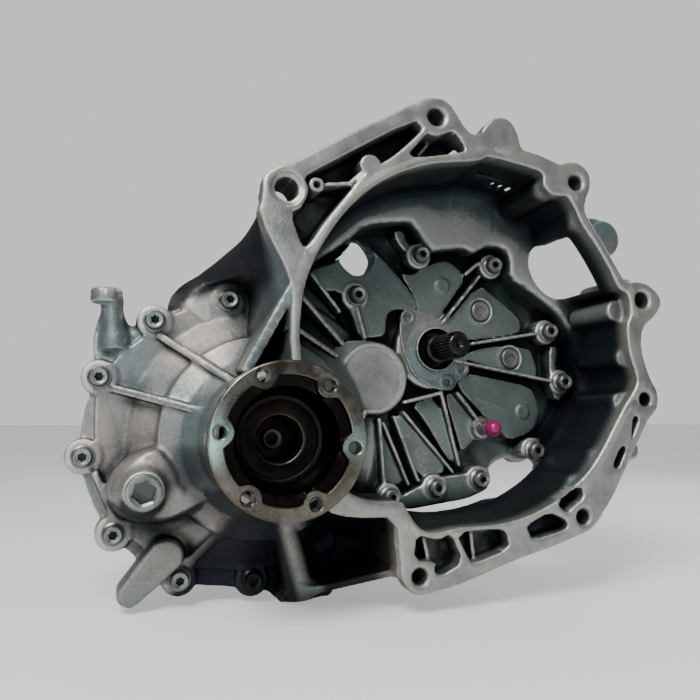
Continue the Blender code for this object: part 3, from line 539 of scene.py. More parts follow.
def casting_marks(mat, colour, rough, speck):
    """Wear and painted highlights on edges, painted shade in hollows and on the walls, a painted tint of
    the light inside the bell, and machined faces, from the marks on the casting's points.
    """
    sunk = mat.ramp(mat.math("ADD", mat.along_y(mat.where), 1.0), low=0.975, high=0.989)
    facing = mat.along_y(mat.make("ShaderNodeNewGeometry").outputs["Normal"])
    square = mat.ramp(mat.math("ABSOLUTE", facing), low=0.62, high=0.86)
    # Inside the bell, below the mouth, the colour turns teal: a painted tint for the greenish light that
    # falls in there.
    teal = mat.mix(
        mat.patches(scale=16, low=0.3, high=0.7), (0.175, 0.245, 0.235), (0.27, 0.335, 0.315)
    )
    light_tinted = mat.math("MULTIPLY", mat.mark("bell_light_tint"), sunk)
    colour = mat.stain_and_light(colour, light_tinted, amount=0.85, tint=mat.speckle(teal, speck))
    # Edges are lighter: partly rubbed wear, partly a painted highlight along them.
    worn_lit_edge = mat.ramp(mat.ragged("edge", scale=300, amount=0.10), low=0.51, high=0.42)
    colour = mat.stain_and_light(colour, worn_lit_edge, amount=0.70, tint=(0.74, 0.74, 0.70))
    # Painted shade, dark teal, deep inside the enclosed parts of the casting.
    enclosed_shade = mat.ramp(mat.ragged("deep", scale=20, amount=0.08), low=0.10, high=0.42)
    colour = mat.stain_and_light(colour, enclosed_shade, amount=0.66, tint=(0.038, 0.062, 0.066))
    # Painted shade on the bell's walls, together with the painted shade and shadows of the shade rules,
    # uneven in strength.
    wall_shade = mat.math("MULTIPLY", mat.math("MULTIPLY", mat.mark("wall"), sunk), 0.95)
    cloudy = mat.patches(
        scale=26, detail=4, roughness=0.6, low=0.25, high=0.6, out_low=0.95, out_high=1
    )
    dark = mat.math("MAXIMUM", mat.mark("shade"), wall_shade)
    colour = mat.stain_and_light(colour, dark, amount=cloudy, tint=(0.008, 0.013, 0.021))
    # Painted shade in hollows and narrow gaps, from how much metal surrounds each place.
    near = mat.ramp(mat.ragged("hollow", scale=60, detail=4, amount=0.10), low=0.24, high=0.52)
    colour = mat.stain_and_light(colour, near, amount=0.94, tint=(0.004, 0.008, 0.012))
    rough = mat.math("ADD", rough, mat.math("MULTIPLY", near, 0.2))
    flat = mat.math("MULTIPLY", mat.mark("machined"), square)
    arcs = mat.make("ShaderNodeTexWave", wave_type="RINGS", rings_direction="Y")
    mat.fill(arcs, Vector=mat.where, Scale=260, Distortion=1.2)
    cut = mat.mix(
        mat.patches(scale=50, detail=4, roughness=0.65, low=0.35, high=0.75),
        (0.57, 0.565, 0.54), (0.33, 0.355, 0.365),
    )
    lines = mat.ramp(arcs.outputs["Fac"], low=0.2, high=0.8)
    cut = mat.stain_and_light(cut, lines, amount=0.18, tint=(0.25, 0.25, 0.25))
    rough = mat.math("SUBTRACT", rough, mat.math("MULTIPLY", flat, 0.10))
    return mat.mix(flat, colour, cut), rough


def cast_finish(name, cool, warm, marked):
    mat = Nodes(name)
    colour = mat.mix(mat.patches(scale=11, low=0.38, high=0.62), cool, warm)
    spots = mat.patches(scale=60, detail=5, roughness=0.7, low=0.45, high=0.72)
    colour = mat.stain_and_light(colour, spots, amount=0.40, tint=(0.10, 0.115, 0.12))
    grain = mat.noise(scale=1100, detail=2, roughness=0.6)
    speck = mat.ramp(grain, low=0.35, high=0.75, out_low=0.72, out_high=1.24)
    colour = mat.speckle(colour, speck)
    rough = mat.patches(scale=38, detail=4, low=0.3, high=0.7, out_low=0.40, out_high=0.58)
    skin = mat.bump(grain, strength=0.40, distance=0.0006)
    skin = mat.bump(mat.noise(scale=240), strength=0.28, distance=0.0010, after=skin)
    if marked:
        colour, rough = casting_marks(mat, colour, rough, speck)
    return mat.close(colour, rough, metallic=0.80, normal=skin)


def metal_finish(
    name, dark, light, rough, metallic=0.95, scratch=(1, 1, 1), wear=0.35, bump=0.12, coat=0.0,
    patch=60, dark_inside=None, turned=False, painted_reflection=None,
):
    mat = Nodes(name)
    blotches = mat.patches(scale=patch, detail=4, roughness=0.6, low=0.3, high=0.7)
    colour = mat.mix(blotches, dark, light)
    lines = mat.noise(scale=900, roughness=0.7, stretch=scratch)
    bright = tuple(min(1.0, c * 1.7 + 0.05) for c in light)
    colour = mat.stain_and_light(colour, mat.ramp(lines, low=0.45, high=0.8), amount=wear, tint=bright)
    spots = mat.patches(scale=150, detail=5, roughness=0.7, low=0.5, high=0.75)
    colour = mat.stain_and_light(colour, spots, amount=0.4, tint=tuple(c * 0.35 for c in dark))
    roughness = mat.patches(
        scale=120, detail=4, low=0.3, high=0.7, out_low=rough - 0.09, out_high=rough + 0.12
    )
    # Painted reflection: a teal glint laid on where the point mark puts it.
    if painted_reflection:
        uneven = mat.patches(scale=45, low=0.2, high=0.8, out_low=0.55, out_high=1)
        colour = mat.stain_and_light(colour, mat.mark("painted_reflection"), amount=uneven, tint=painted_reflection)
    # Painted shade in recesses, from each point's mark, mixed towards the near-black colour.
    if dark_inside:
        shade_level = mat.ragged("hollow", scale=80, amount=0.15)
        colour = mat.mix(mat.ramp(shade_level, low=0.15, high=0.9, out_high=0.96), colour, dark_inside)
    if turned:
        around = mat.make("ShaderNodeTangent", direction_type="RADIAL", axis="Y")
        mat.fill(mat.shader, Anisotropic=0.75, Tangent=around.outputs[0])
    return mat.close(colour, roughness, metallic, mat.bump(lines, bump, distance=0.0004), coat)


CAST = cast_finish("cast_aluminium", (0.245, 0.315, 0.325), (0.46, 0.425, 0.40), marked=True)
FINISH = {
    "cast_aluminium": cast_finish(
        "cast_aluminium_plain", (0.24, 0.28, 0.29), (0.36, 0.35, 0.33), marked=False
    ),
    "zinc_bolt": metal_finish(
        "zinc_bolt", (0.20, 0.23, 0.23), (0.42, 0.45, 0.43), rough=0.36, metallic=0.85,
        dark_inside=(0.006, 0.009, 0.012),
    ),
    "steel": metal_finish("steel", (0.34, 0.34, 0.34), (0.52, 0.51, 0.49), rough=0.32),
    "dark_steel": metal_finish(
        "dark_steel", (0.020, 0.022, 0.026), (0.06, 0.06, 0.065), rough=0.33, metallic=0.9, wear=0.3
    ),
    "flange_steel": metal_finish(
        "flange_steel", (0.085, 0.075, 0.062), (0.215, 0.20, 0.175), rough=0.27,
        scratch=(1, 0.15, 1), wear=0.5, patch=40, dark_inside=(0.009, 0.007, 0.006), turned=True,
        # the colour of the painted reflection on the turned face
        painted_reflection=(0.52, 0.72, 0.66),
    ),
    "seal_rubber": metal_finish(
        "seal_rubber", (0.012, 0.012, 0.013), (0.03, 0.03, 0.03), rough=0.6, metallic=0.0, wear=0.1
    ),
    "cap_plastic": metal_finish(
        "cap_plastic", (0.24, 0.005, 0.09), (0.36, 0.010, 0.14), rough=0.16, metallic=0.0,
        wear=0.05, bump=0.04, coat=0.6,
    ),
    "brass": metal_finish("brass", (0.45, 0.32, 0.14), (0.68, 0.52, 0.26), rough=0.34),
}
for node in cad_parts.values():
    given = [m.name.split(".")[0] for m in node.data.materials if m]
    node.data.materials.clear()
    node.data.materials.append(FINISH.get(given[0] if given else "", FINISH["steel"]))


def place(made, slot, stands_for=None, body="housing", material=None):
    made.data.materials.clear()
    made.data.materials.append(material or FINISH[slot])
    if stands_for:
        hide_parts(stands_for)
    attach(made, body)


def place_casting(part, name, most, stands_for):
    place(part.skin(name, most), "cast_aluminium", stands_for, material=CAST)


# ---- clutch housing --------------------------------------------------------
# engine flange, clockwise from the upper left boss
FLANGE = outline("""
-160,107 -148,115 -135,121 -99,144 -61,167 -42,178 -31,181 -20,178 -13,169 -4,157 5,157 10,165
17,171 26,173 33,170 37,163 41,150 57,148 76,142 84,145 94,145 103,138 103,127 98,114 98,104
104,96 114,80 125,63 134,52 152,52 163,46 169,38 163,28 148,14 147,-3 153,-22 161,-38 159,-50
151,-56 142,-72 124,-101 113,-119 101,-133 89,-142 65,-150 24,-160 -16,-173 -45,-178 -54,-175
-60,-166 -62,-158 -65,-125 -98,-124 -116,-119 -128,-80 -136,-42 -139,-12 -139,14 -140,36 -164,80
-160,92""")
# bell mouth, with the pockets beside the bolt bosses
MOUTH = outline("""
-32,131 0,136 8,139 12,142 56,136 61,132 60,124 67,117 75,117 82,118 88,110 94,97 110,77 122,58
128,46 137,43 139,25 134,18 135,-4 143,-26 139,-35 127,-50 105,-84 90,-101 66,-118 40,-129
14,-134 -15,-134 -32,-137 -42,-137 -50,-132 -58,-120 -61,-114 -84,-114 -104,-106 -119,-69
-131,-38 -135.5,0 -132,33 -122,58 -104,86 -82,108 -58,122""", 2)
BELL = MOUTH.grow(2.5)
# the round bell at the joint plane
ROUND_BACK = """
-150,80 -118,106 -96,118 -60,132 -31,140 -4,143 26,141 50,136 74,124 90,116 104,104 116,82 130,56
141,34 146,12 148,-20 142,-44 127,-70 102,-104 80,-121 56,-134 22,-143 -12,-150 -45,-158 -76,-150
-112,-136 -142,-100 -150,-40 -158,20"""
# case joint flange, on both sides of the joint
CASE_FLANGE = outline("""
-14,82 54,78 70,68 110,26 122,-10 124,-28 112,-62 99,-88 86,-94 76,-91 64,-95 54,-108 38,-113
-2,-118 -42,-128 -76,-142 -110,-162 -138,-178 -150,-181 -176,-180 -203,-176 -228,-160 -252,-139
-266,-112 -274,-84 -272,-54 -264,-28 -246,0 -226,18 -198,28 -171,36 -120,36 -70,47""")
# raised band round the dome
BAND = """
-222,16 -231,4 -246,-9 -259,-24 -264,-40 -264,-62 -262,-92 -252,-122 -232,-148 -200,-164
-150,-170 -100,-160 -90,-60 -110,30 -171,32 -200,25"""
# lip where the shelf round the bell's floor drops to the case joint
MOAT = """
-106,65 -77,85 -63,99 -29,104 -22,103 -7,81 7,83 23,86 34,82 42,87 50,90 63,89 69,81 68,64 88,53
103,44 118,33 128,18 132,-8 136,-28 128,-44 112,-66 98,-86 84,-101 62,-115 38,-126 12,-130
-14,-130 -38,-132 -62,-121 -82,-106 -100,-88 -115,-66 -126,-36 -130,0 -127,32 -118,54"""
FLOOR_PADS = [  # Y of the face, outline
    (73, """-109,59 -101,63 -85,68 -73,87 -64,89 -55,80 -37,65 -18,43 -15,37 -19,29 -31,33 -39,31
        -43,26 -44,10 -56,8 -66,7 -73,28 -80,34 -83,45 -102,43 -107,51"""),
    (76, "-30,64 -19,62 -8,69 3,75 14,77 22,73 28,67 30,61 23,51 4,25 -17,30 -14,37 -17,44"),
    (76, "44,59 61,47 75,37 83,30 85,23 82,17 62,13 34,9 25,14 11,22"),
    (76, "27,-7 39,2 63,6 83,5 94,3 99,-11 100,-18 96,-22 63,-15"),
    (76, "27,-18 58,-23 92,-29 99,-41 101,-52 97,-64 87,-71 71,-75 62,-67 47,-55 21,-30"),
    (77, "-20,-45 4,-38 20,-94 12,-90 -8,-58"),
    (78, "-36,-57 -28,-53 -5,-78 15,-101 -15,-107"),
    (80, "-49,-60 -45,-62 -36,-88 -24,-110 -44,-111 -47,-87"),
    (80, "12,-38 19,-34 45,-58 39,-75 27,-85 24,-75"),
    (74, "-35,99 -27,99 -24,89 -18,86 -3,79 -16,72 -34,90"),
    (74, "112,7 121,7 117,-14 126,-14 133,-27 128,-36 118,-42 112,-30"),
    (74, "97,-73 102,-75 102,-88 97,-95 80,-82"),
    (72.8, "-38,-122 -9,-109 8,-104 25,-103 48,-96 50,-108 45,-117 28,-124 4,-127 -30,-130"),
]
# both ends' X and Z, Y of the edge at each end, half width
FLOOR_RIBS = rows("""
6,22,42,64,70.5,70.5,1.4 34,6,96,17,70.5,71,1.4 18,-9,110,-24,70.5,71,1.4
5,-36,21,-95,71,73,1.5 -46,-61,-24,-110,72,74,1.3 -28,-44,5,-36,71,71,1.4
-37,-56,-16,-107,71,73,1.5 -50,-58,-45,-112,71,73,1.6 -29,-52,16,-101,71.5,74,1.3
-118,33,-83,2,52,66,2 -121,9,-88,-8,54,66,2 -109,55,-84,28,64,70,1.6 -70,36,-62,8,71,71,1.5
40,-40,96,-60,75,75.2,1.3 20,-36,43,-62,71,73,1.6 -66,-52,-88,-100,60,66,1.8
30,66,42,76,72,72,1.6""")
# lugs behind the flange's bolt holes: X, Z, radius, Y of the end
LUGS = rows("""-144,99,15,34 -31,165,13,40 26,160,12,46 90,131,12,34 152,38,14,40 150,-42,11,34
89,-130,11,34 -47,-165,12,36""")
LUG_WEBS = rows("""-144,99,-112,84 -31,166,-28,134 26,160,22,136 90,131,76,112 152,38,132,34
150,-42,130,-38 89,-130,74,-108 -47,-166,-42,-136""")
MOUNT_HOLES = rows("""-144,99,8.4 -31,166,6.6 90,129,6 150,38,6.6 149,-42,5.2 87,-131,5.5
-48,-166,5.5""")
WALL_BOSSES = rows("66,124,8 98,101,8 143,50,8 133,30,9 138,-8,7 134,-44,8 108,-88,7 88,-108,8")
FLANGE_POCKETS = [  # Y of the end, blend, soft, draft, outline
    (26, 0.6, 2.5, 0.04, """-133,108 -122,116 -49,162 -42,156 -44,152 -59,137 -71,127 -88,117
        -99,101 -117,78 -128,61 -133,58 -142,82 -132,88"""),
    (26, 0.6, 2.5, 0.04, "-39,153 -31,151 -19,157 -14,155 -7,145 -9,141 -49,132 -54,135 -46,144"),
    (17, 0.6, 2.5, 0.04, "-51,-137 -33,-142 -24,-137 -14,-158 -33,-167 -38,-162 -35,-157 -52,-155"),
    (17, 0.6, 2.5, 0.04, "-20,-137 13,-136 21,-139 23,-151 -7,-160 -11,-155"),
    (16, 0.6, 2.5, 0.04, "37,-135 57,-126 71,-132 73,-136 71,-140 42,-146 39,-140"),
    (16, 0.6, 2, 0.04, "63,-120 80,-109 87,-109 88,-117 77,-124 72,-128"),
    (22, 0.4, 1.2, 0, "134,-71 136,-55 143,-56 134,-74"),
    (22, 0.4, 1.2, 0, "115,-93 124,-78 129,-80 120,-97"),
]
# differential dome, which also shows inside the bell: radius, Y
DOME = """
0,30 40,14 40,-8 43,-8 46,-5.5 46,24 48.5,36 59,47.5 70,52 73.5,53.6 75,62 98,79.5 104,82 112,83
112,93 0,93"""


def add_bell(part):
    """Flange, bell and the wing out to the differential, with the solid metal and lugs behind."""
    part.add(FLANGE, 0, 13, 0, 1)
    part.add(MOUTH.grow(6), 0, JOINT, 2, 1, end=ROUND_BACK)
    part.add(
        "-156,108 -110,84 -112,-20 -138,-12 -138,36 -161,80 -159,96", 4, JOINT, 5, 3,
        end="-118,108 -90,60 -120,-20 -218,12 -216,34 -206,46 -190,56 -152,90",
    )
    part.cut("-224,8 -216,27 -194,43 -171,49 -157,45 -152,30 -156,8 -164,-8 -200,-10",
             20, 76.3, 4, 3, draft=0.04)
    part.add("-150,112 -60,164 -40,172 -16,166 -6,146 -40,134 -80,114 -112,84 -128,50 -150,80",
             2, 35, 4, 2)
    part.add("-60,-168 -16,-166 24,-154 86,-136 108,-118 84,-96 40,-132 -40,-140 -58,-128",
             2, 33, 4, 2)
    part.add("108,-120 140,-70 156,-52 134,-44 100,-88 86,-106", 2, 33, 4, 2)
    for x, z, r, depth in LUGS:
        part.add(disc(x, z, r), 3, depth, 6, 2, draft=0.10)
    for ends in LUG_WEBS:
        part.rib(*ends, 3.5, 6, 6, 66, 5)
    # starter lug and the boss opposite
    part.add(disc(130, 92, 15), 18, 60, 8, 3)
    part.add("112,104 122,112 140,104 146,88 140,74 116,72", 24, 62, 6, 3)
    part.add(disc(152, -83, 8), 22, 60, 8, 3)
    part.add(strip(152, -83, 120, -70, 6), 28, 54, 5, 3)


def add_joint(part):
    """Case joint flange, the recess below the dome, and the breather spout."""
    part.add(CASE_FLANGE, 80, JOINT, 3, 1.2)
    part.add(BAND, 77, JOINT, 1.2, 1)
    for x, z in DIFF_BOLTS:
        part.add(disc(x, z, 12.5), 76.3, JOINT, 2.5, 1, draft=-0.02)
    part.add("-264,18 -252,22 -240,8 -226,14 -240,-12 -262,-28 -268,-4", 82, JOINT, 4, 2)
    # floor of the recess, its lower rim and its column
    part.add("-150,-120 -150,-182 -126,-191 -104,-191 -62,-176 -48,-164 -40,-130 -90,-100",
             82, JOINT, 3, 2)
    part.ribs("-128,-187,-59,-163,2.6,60,9,92,3,1 -128,-187,-100,-181,5,66,50,92,4,1")
    part.add(strip(-133, -128, -119, -178, 9, 10), 50, JOINT, 8, 8)
    part.add(disc(-96, -150, 11), 76, JOINT, 3, 1.5)
    part.rib(-64, -126, -61, -164, 2.4, 3, 3, 62, 3)

    def spout(x, y, z):
        tube = np.hypot(x + 253.5 + 0.10 * (z - 10), y - 82) - 7.8
        collar = np.hypot(x + 259, y - 81.5) - 11.0
        return smooth_min(
            smooth_max(tube, np.maximum(-6 - z, z - 30), 1.0),
            smooth_max(collar, np.maximum(26.5 - z, z - 36.8), 1.2), 3.0,
        )

    def foot(x, y, z):
        return np.hypot(np.hypot(x + 252, y - 84), (z + 1) * 0.9) - 10.0

    def hole(x, y, z):
        return np.maximum(np.hypot(x + 259, y - 81.5) - 7.2, 31 - z)

    part.solid(spout, (-271, -244, 70, 93, -8, 38), 4)
    part.solid(foot, (-264, -240, 72, 92, -12, 12), 4)
    part.solid(hole, (-268, -250, 72, 91, 31, 40), 0.6, True)


def add_dome(part):
    """The bell's hollow, then the dome in it with its ribs, filler boss and foot."""
    part.cut(MOUTH, -6, 65, 1, 9, draft=0.03)
    part.cut(MOAT, 50, 88.5, 5, 2.5)
    part.turned(DIFF, DOME, 1.2)
    part.cut("-40,-30 -70,-66 -74,-104 -60,-124 -20,-124 -20,-40", 60, 79, 1.2, 1.5)
    part.rib(-139.5, 30, -167, -24, 3.6, 0.5, 12, 84, 2, 1)
    part.cut("-140.5,8 -142,-18 -160,-26", -2, 56, 0.8, 2)
    part.ribs("""-138,20,-136,-20,1.4,0.5,1.5,60,1,0.6 -221,3,-172,-33,2.7,73,29,88,2.5,1.2
        -255,-35,-185,-55,2.7,75,31,88,2.5,1.2 -212,-79,-186,-74,2,59,45,80,2,1""")
    part.add("""-222,-78 -232,-81 -243,-91 -249,-100 -251,-110 -245,-121 -232,-127 -214,-127
        -196,-119 -190,-112 -206,-106 -212,-90""", 46, 88, 5, 4, draft=-0.12)
    part.add(disc(*FILLER, 13.2), 31.8, 70, 7, 1.2, draft=-0.22)
    part.add(strip(-213, -154, -237, -179, 12.5, 8.8), 66, JOINT, 5, 4)
    part.ribs("-178,-140,-196,-160,3,58,74,86,5 -262,-96,-246,-132,2.2,72,76,86,4")


def add_floor(part):
    """Pads, ribs and bosses on the bell's floor."""
    part.add("-120,50 -112,60 -90,66 -84,30 -70,4 -84,-10 -124,-24 -128,20", 85, JOINT, 3, 2)
    for y, shape in FLOOR_PADS:
        part.add(shape, y, 91, 1.2, 0.9, draft=-0.04)
    for *ends, y_start, y_end, half in FLOOR_RIBS:
        part.rib(*ends, half, y_start, y_end, 90, 1, 0.6)
    # output shaft boss with its web to the ribs, and the input bore's collar
    part.turned(OUTPUT, "0,71.6 24.6,71.6 25.2,70.6 26.8,70.6 28.6,71.6 30,74.4 30,91 0,91", 2)
    part.add("-92,-8 -84,2 -72,6 -50,4 -60,-10 -80,-18", 74, 91, 3, 1.2)
    part.add(disc(*INPUT, 33), 76.4, 91, 2, 1.4)
    for x, z in BELL_BOLTS:
        part.add(disc(x, z, 10.8), 72.2, 91, 1.6, 0.8, draft=-0.03)
    for x, z in ((9, 55), (84, -51)):
        part.add(disc(x, z, 6), 74, 80, 0.4, 0.7)
        part.cut(disc(x, z, 4.4), 70, 74.6, 0, 0.4)
    for x, z in CORE_PLUGS:
        part.add(disc(x, z, 12.2), 75, 84, 0.5, 0.6)
        part.cut(disc(x, z, 9.6), 70, 77.5, 0, 0.5)
    part.add(disc(*STUD, 10), 80, 91, 3, 1)
    for x, z in PLATE_HOLES:
        part.add(disc(x, z, 5.6), 76, 84, 2, 0.8)


def cut_openings(part):
    """Openings through the floor, then bosses, a slot and a lattice on the wall."""
    part.cut("""87,77 90,90 106,105 125,104 143,98 151,89 153,74 146,64 136,55 120,50 102,54
        92,64""", 34, 96, 2, 1.5)
    part.cut(disc(119, 76, 27.5), 24, 96, 3, 1.5)  # starter
    part.cut("-84,70 -76,80 -70,89 -62,89 -55,80 -52,73 -58,61 -70,57 -79,63", 66, 96, 1, 1)
    part.cut("""80,-88 74,-86 61,-92 54,-104 44,-122 50,-126 70,-124 90,-114 104,-99 99,-92""",
             66, 96, 1.5, 1)
    part.cut("-30,-131 4,-126 28,-123 44,-117 60,-110 64,-122 32,-132 0,-135", 66, 96, 1, 1)
    for x, z, r in WALL_BOSSES:
        part.add(disc(x, z, r), 10, 62, 5, 3)
    part.cut("20,146 58,142 57,136 20,138", 31, 36, 0.6, 0.6)
    for x in (40, 47, 54):
        slot = [(x, 144), (x + 4, 143), (x + 4, 133), (x, 134)]
        part.cut(outline(slot), 42, 52, 0.6, 0.6)


def cut_flange(part):
    """Lightening pockets, ring boss and mounting holes in the engine flange."""
    for y, blend, soft, draft, shape in FLANGE_POCKETS:
        part.cut(shape, -3, y, blend, soft, draft)
    part.add(disc(-144, 99, 14.6), 0, 30, 0.6, 0.8)
    part.add(disc(-123, 104, 5.4), 0.4, 30, 0.8, 0.6)
    part.cut(disc(-123, 104, 2.5), -2, 22, 0, 0.5)
    part.add(disc(-83, 122.5, 8), 0, 30, 0.8, 0.6)
    part.ribs("""-118,105,-98,108,1.3,2,1,30,0.8,0.5 -98,108,-90,116,1.6,1,1,30,0.8,0.5
        -84,124,-92,108,1.4,10,10,30,1.5 -40,140,-32,150,1.4,14,14,28,1.5
        -42,-140,-38,-157,1.6,7,7,30,1.5 -4,-138,-2,-157,1.6,8,8,30,1.5""")
    part.cut(disc(-144, 99, 11.4), -2, 1.5, 0, 0.5)
    for x, z, r in MOUNT_HOLES:
        part.cut(disc(x, z, r), -2, 60, 0.4, 0.6)
        part.cut(disc(x, z, r + 1.4), -2, 0.9, 0.3, 0.8)


def cut_bores(part):
    part.cut(disc(*INPUT, 12.9), 60, 96, 0.2, 0.6)
    part.cut(disc(*INPUT, 20.8), 80, 96, 0, 0.4)
    part.cut(disc(*OUTPUT, 25.9), 76.5, 96, 0, 0.4)
    part.turned(DIFF, """0,95 0,-10 38.6,-10 38.6,8 18,8 18,30 36.9,30 36.9,44 50,58 62,70 64,86
        86,91 86,95""", 0.2, True)
    for x, z in BELL_BOLTS + DIFF_BOLTS:
        part.cut(disc(x, z, 4.8), 60, 96, 0, 0.3)
    part.cut(disc(*FILLER, 10), 28, 58, 0.4, 0.6)
    part.cut(disc(*STUD, 4.8), 68, 84, 0, 0.3)


def shaded_walls(co):
    """Painted shade on the bell's walls; the finish fades this out near the mouth."""
    out = BELL.distance(co[:, 0], co[:, 2])
    return step(out, -16, -8) * (out < 0.5)


def wing_side(co, normal):
    """Painted shade on the wing's outer side, less so next to the flange's edge, and in the corner above
    the first case bolt.
    """
    x, y, z = co.T
    at = step(y, 8, 24) * step(x, -226, -205) * step(-x, 128, 136) * step(z + 0.45 * x, -88, -66)
    above = (54 * (z - 14) - 18 * (x + 225)) / 56.9
    corner = 0.9 * step(above, 6, 11) * step(y, 20, 34) * step(-x, 148, 156) * step(x, -214, -204)
    corner = corner * step(np.hypot(x + 171, z - 32), 12, 14.5)
    side = 0.96 * at * step(-normal[:, 0], 0.25, 0.6) * (1 - 0.5 * step(-z, -42, -24))
    return np.maximum(corner, side)


def underside(co, normal):
    """Painted shadow under the drive flange, over the dome and the recess low down; the column, where
    light falls, is left out of it.
    """
    x, y, z = co.T
    column = step(-np.abs(x + 128 + 0.28 * (z + 128)), -12, -6)
    column = column * step(-z, 122, 132) * step(-y, -72, -60)
    across = ((x + 172) * 40 - (z + 120) * 26) / 47.7
    low = step(across, -5, 7) * step(-z, 106, 124) * step(-x, 58, 66) * step(y, 6, 22)
    low = low * (1 - 0.85 * column)
    near = step(-np.hypot(x + 148, z + 71), -70, -62) * step(-z - 0.1 * x, 92, 101)
    near = near * step(-x, 140, 160) * step(y, 6, 14)
    rim = 60 - (x + 128) / 69 * 51
    recess = step(-z, 124, 132) * step(x, -116, -106) * step(-x, 52, 60) * step(y - rim, 2, 8)
    below = step(y, 5, 12) * step(-normal[:, 2], 0.2, 0.5) * step(-z, 98, 108)
    below = below * step(-x, 52, 60) * step(z, -136, -128)
    return np.maximum(np.maximum(0.58 * near, 0.97 * low), 0.93 * np.maximum(recess, below))


def clutch_housing():
    part = Casting((-288, -12, -197), (174, 95, 187), 1.4)
    add_bell(part)
    add_joint(part)
    add_dome(part)
    add_floor(part)
    cut_openings(part)
    cut_flange(part)
    cut_bores(part)
    part.keep_inside((-283.6, -8.2, -191.6), (168.7, JOINT, 180.6))
    part.machined_faces = [
        (FLANGE, 0), (FLANGE, 1.5), (disc(*FILLER, 19), 31.8), (disc(*OUTPUT, 24.4), 71.6)
    ]
    part.shades = [wing_side, underside]
    # Where the painted tint of the light inside the bell goes.
    part.marks["bell_light_tint"] = lambda co: BELL.distance(co[:, 0], co[:, 2]) < 0.5
    # The bell's walls get painted shade.
    part.marks["wall"] = shaded_walls
    place_casting(part, "housing_casting", 188000, "clutch_housing")


clutch_housing()

# ---- gear case -------------------------------------------------------------
BODY_START = 98
BODY = rows("""
-12,74 50,70 66,58 100,22 112,-10 112,-30 100,-60 86,-80 62,-94 34,-102 -4,-107 -44,-114 -86,-110
-104,-96 -112,-60 -112,0 -104,26 -70,38""")
BODY_BACK = rows("""
-12,62 40,58 56,46 78,20 88,-10 88,-28 78,-54 66,-70 46,-82 26,-88 -4,-92 -44,-96 -84,-92
-100,-78 -110,-54 -110,0 -100,22 -66,34""")
HOLLOW = """
-12,66 47,62 61,52 94,18 104,-10 104,-29 93,-57 80,-73 58,-86 32,-94 -4,-99 -44,-106 -82,-102
-95,-90 -103,-60 -103,0 -98,20 -70,31"""
HOLLOW_BACK = """
-12,55 37,51 51,41 72,18 81,-10 81,-27 72,-50 61,-64 44,-75 24,-81 -4,-85 -44,-89 -72,-86
-86,-74 -90,-52 -101,-30 -102,0 -95,18 -66,27"""
DIFF_BULGE = """
-120,30 -171,30 -222,12 -258,-28 -266,-84 -244,-134 -203,-168 -152,-174 -112,-160 -70,-134
-66,20"""
DIFF_BULGE_BACK = """
-120,26 -168,22 -208,4 -236,-32 -242,-82 -226,-126 -194,-158 -152,-167 -112,-158 -70,-134
-66,16"""
CASE_FINS = rows("""
-12,60,-12,82 20,60,22,79 50,50,58,72 78,24,90,38 92,-8,114,-8 92,-40,114,-44 70,-70,88,-92
34,-88,38,-106 -4,-92,-3,-113 -44,-96,-43,-120 -84,-90,-90,-112""")


def add_case_ribs(part):
    """Webs out from the differential's axis, fins along the body and bands round it."""
    cx, cz = DIFF
    for k in range(10):
        angle = math.radians(72 + 24 * k)
        c, s = math.cos(angle), math.sin(angle)
        part.fin(cx + 44 * c, cz + 44 * s, cx + 92 * c, cz + 92 * s, 2.4, 110, 176, 146, 4)
    for ends in CASE_FINS:
        part.fin(*ends, 2.6, 100, 262, 106, 5)
    for y in (140, 168, 196, 224):
        t = (y - BODY_START) / (CASE_END - BODY_START)
        pairs = zip(BODY, BODY_BACK)
        section = [(a + (c - a) * t, b + (d - b) * t) for (a, b), (c, d) in pairs]
        part.add(outline(section, 2).grow(3), y, y + 5, 4, 2)


def cut_case(part):
    part.cut(HOLLOW, 90, 247, 1, 2, end=HOLLOW_BACK)
    part.turned(DIFF, """0,90 89,90 89,126 70,136 48,140 48,149 36.9,149 36.9,164 18,164 18,174
        38,174 38,190 0,190""", 0.5, True)
    part.cut(disc(*DIFF, 52.5), 186, 270, 1, 2)
    part.cut(disc(*INPUT, 24.8), 244, 260, 0, 0.5)
    part.cut(disc(*OUTPUT, 26.8), 244, 260, 0, 0.5)
    part.cut(disc(*INPUT, 14), 256, 266, 0, 0.5)
    part.cut(disc(*OUTPUT, 16.4), 256, 266, 0, 0.5)
    for x, z in ((-46, 30), (30, 44), (-82, 10)):
        part.cut(disc(x, z, 6.6), 244, 266, 0, 0.3)
    # upright hole in the block on top
    part.solid(lambda x, y, z: np.maximum(np.hypot(x - 10, y - 153) - 17.3, 36 - z),
               (-10, 30, 132, 174, 36, 80), 0.4, True)
    for x, z in BELL_BOLTS + DIFF_BOLTS:
        part.cut(disc(x, z, 4.8), 90, 112, 0, 0.3)


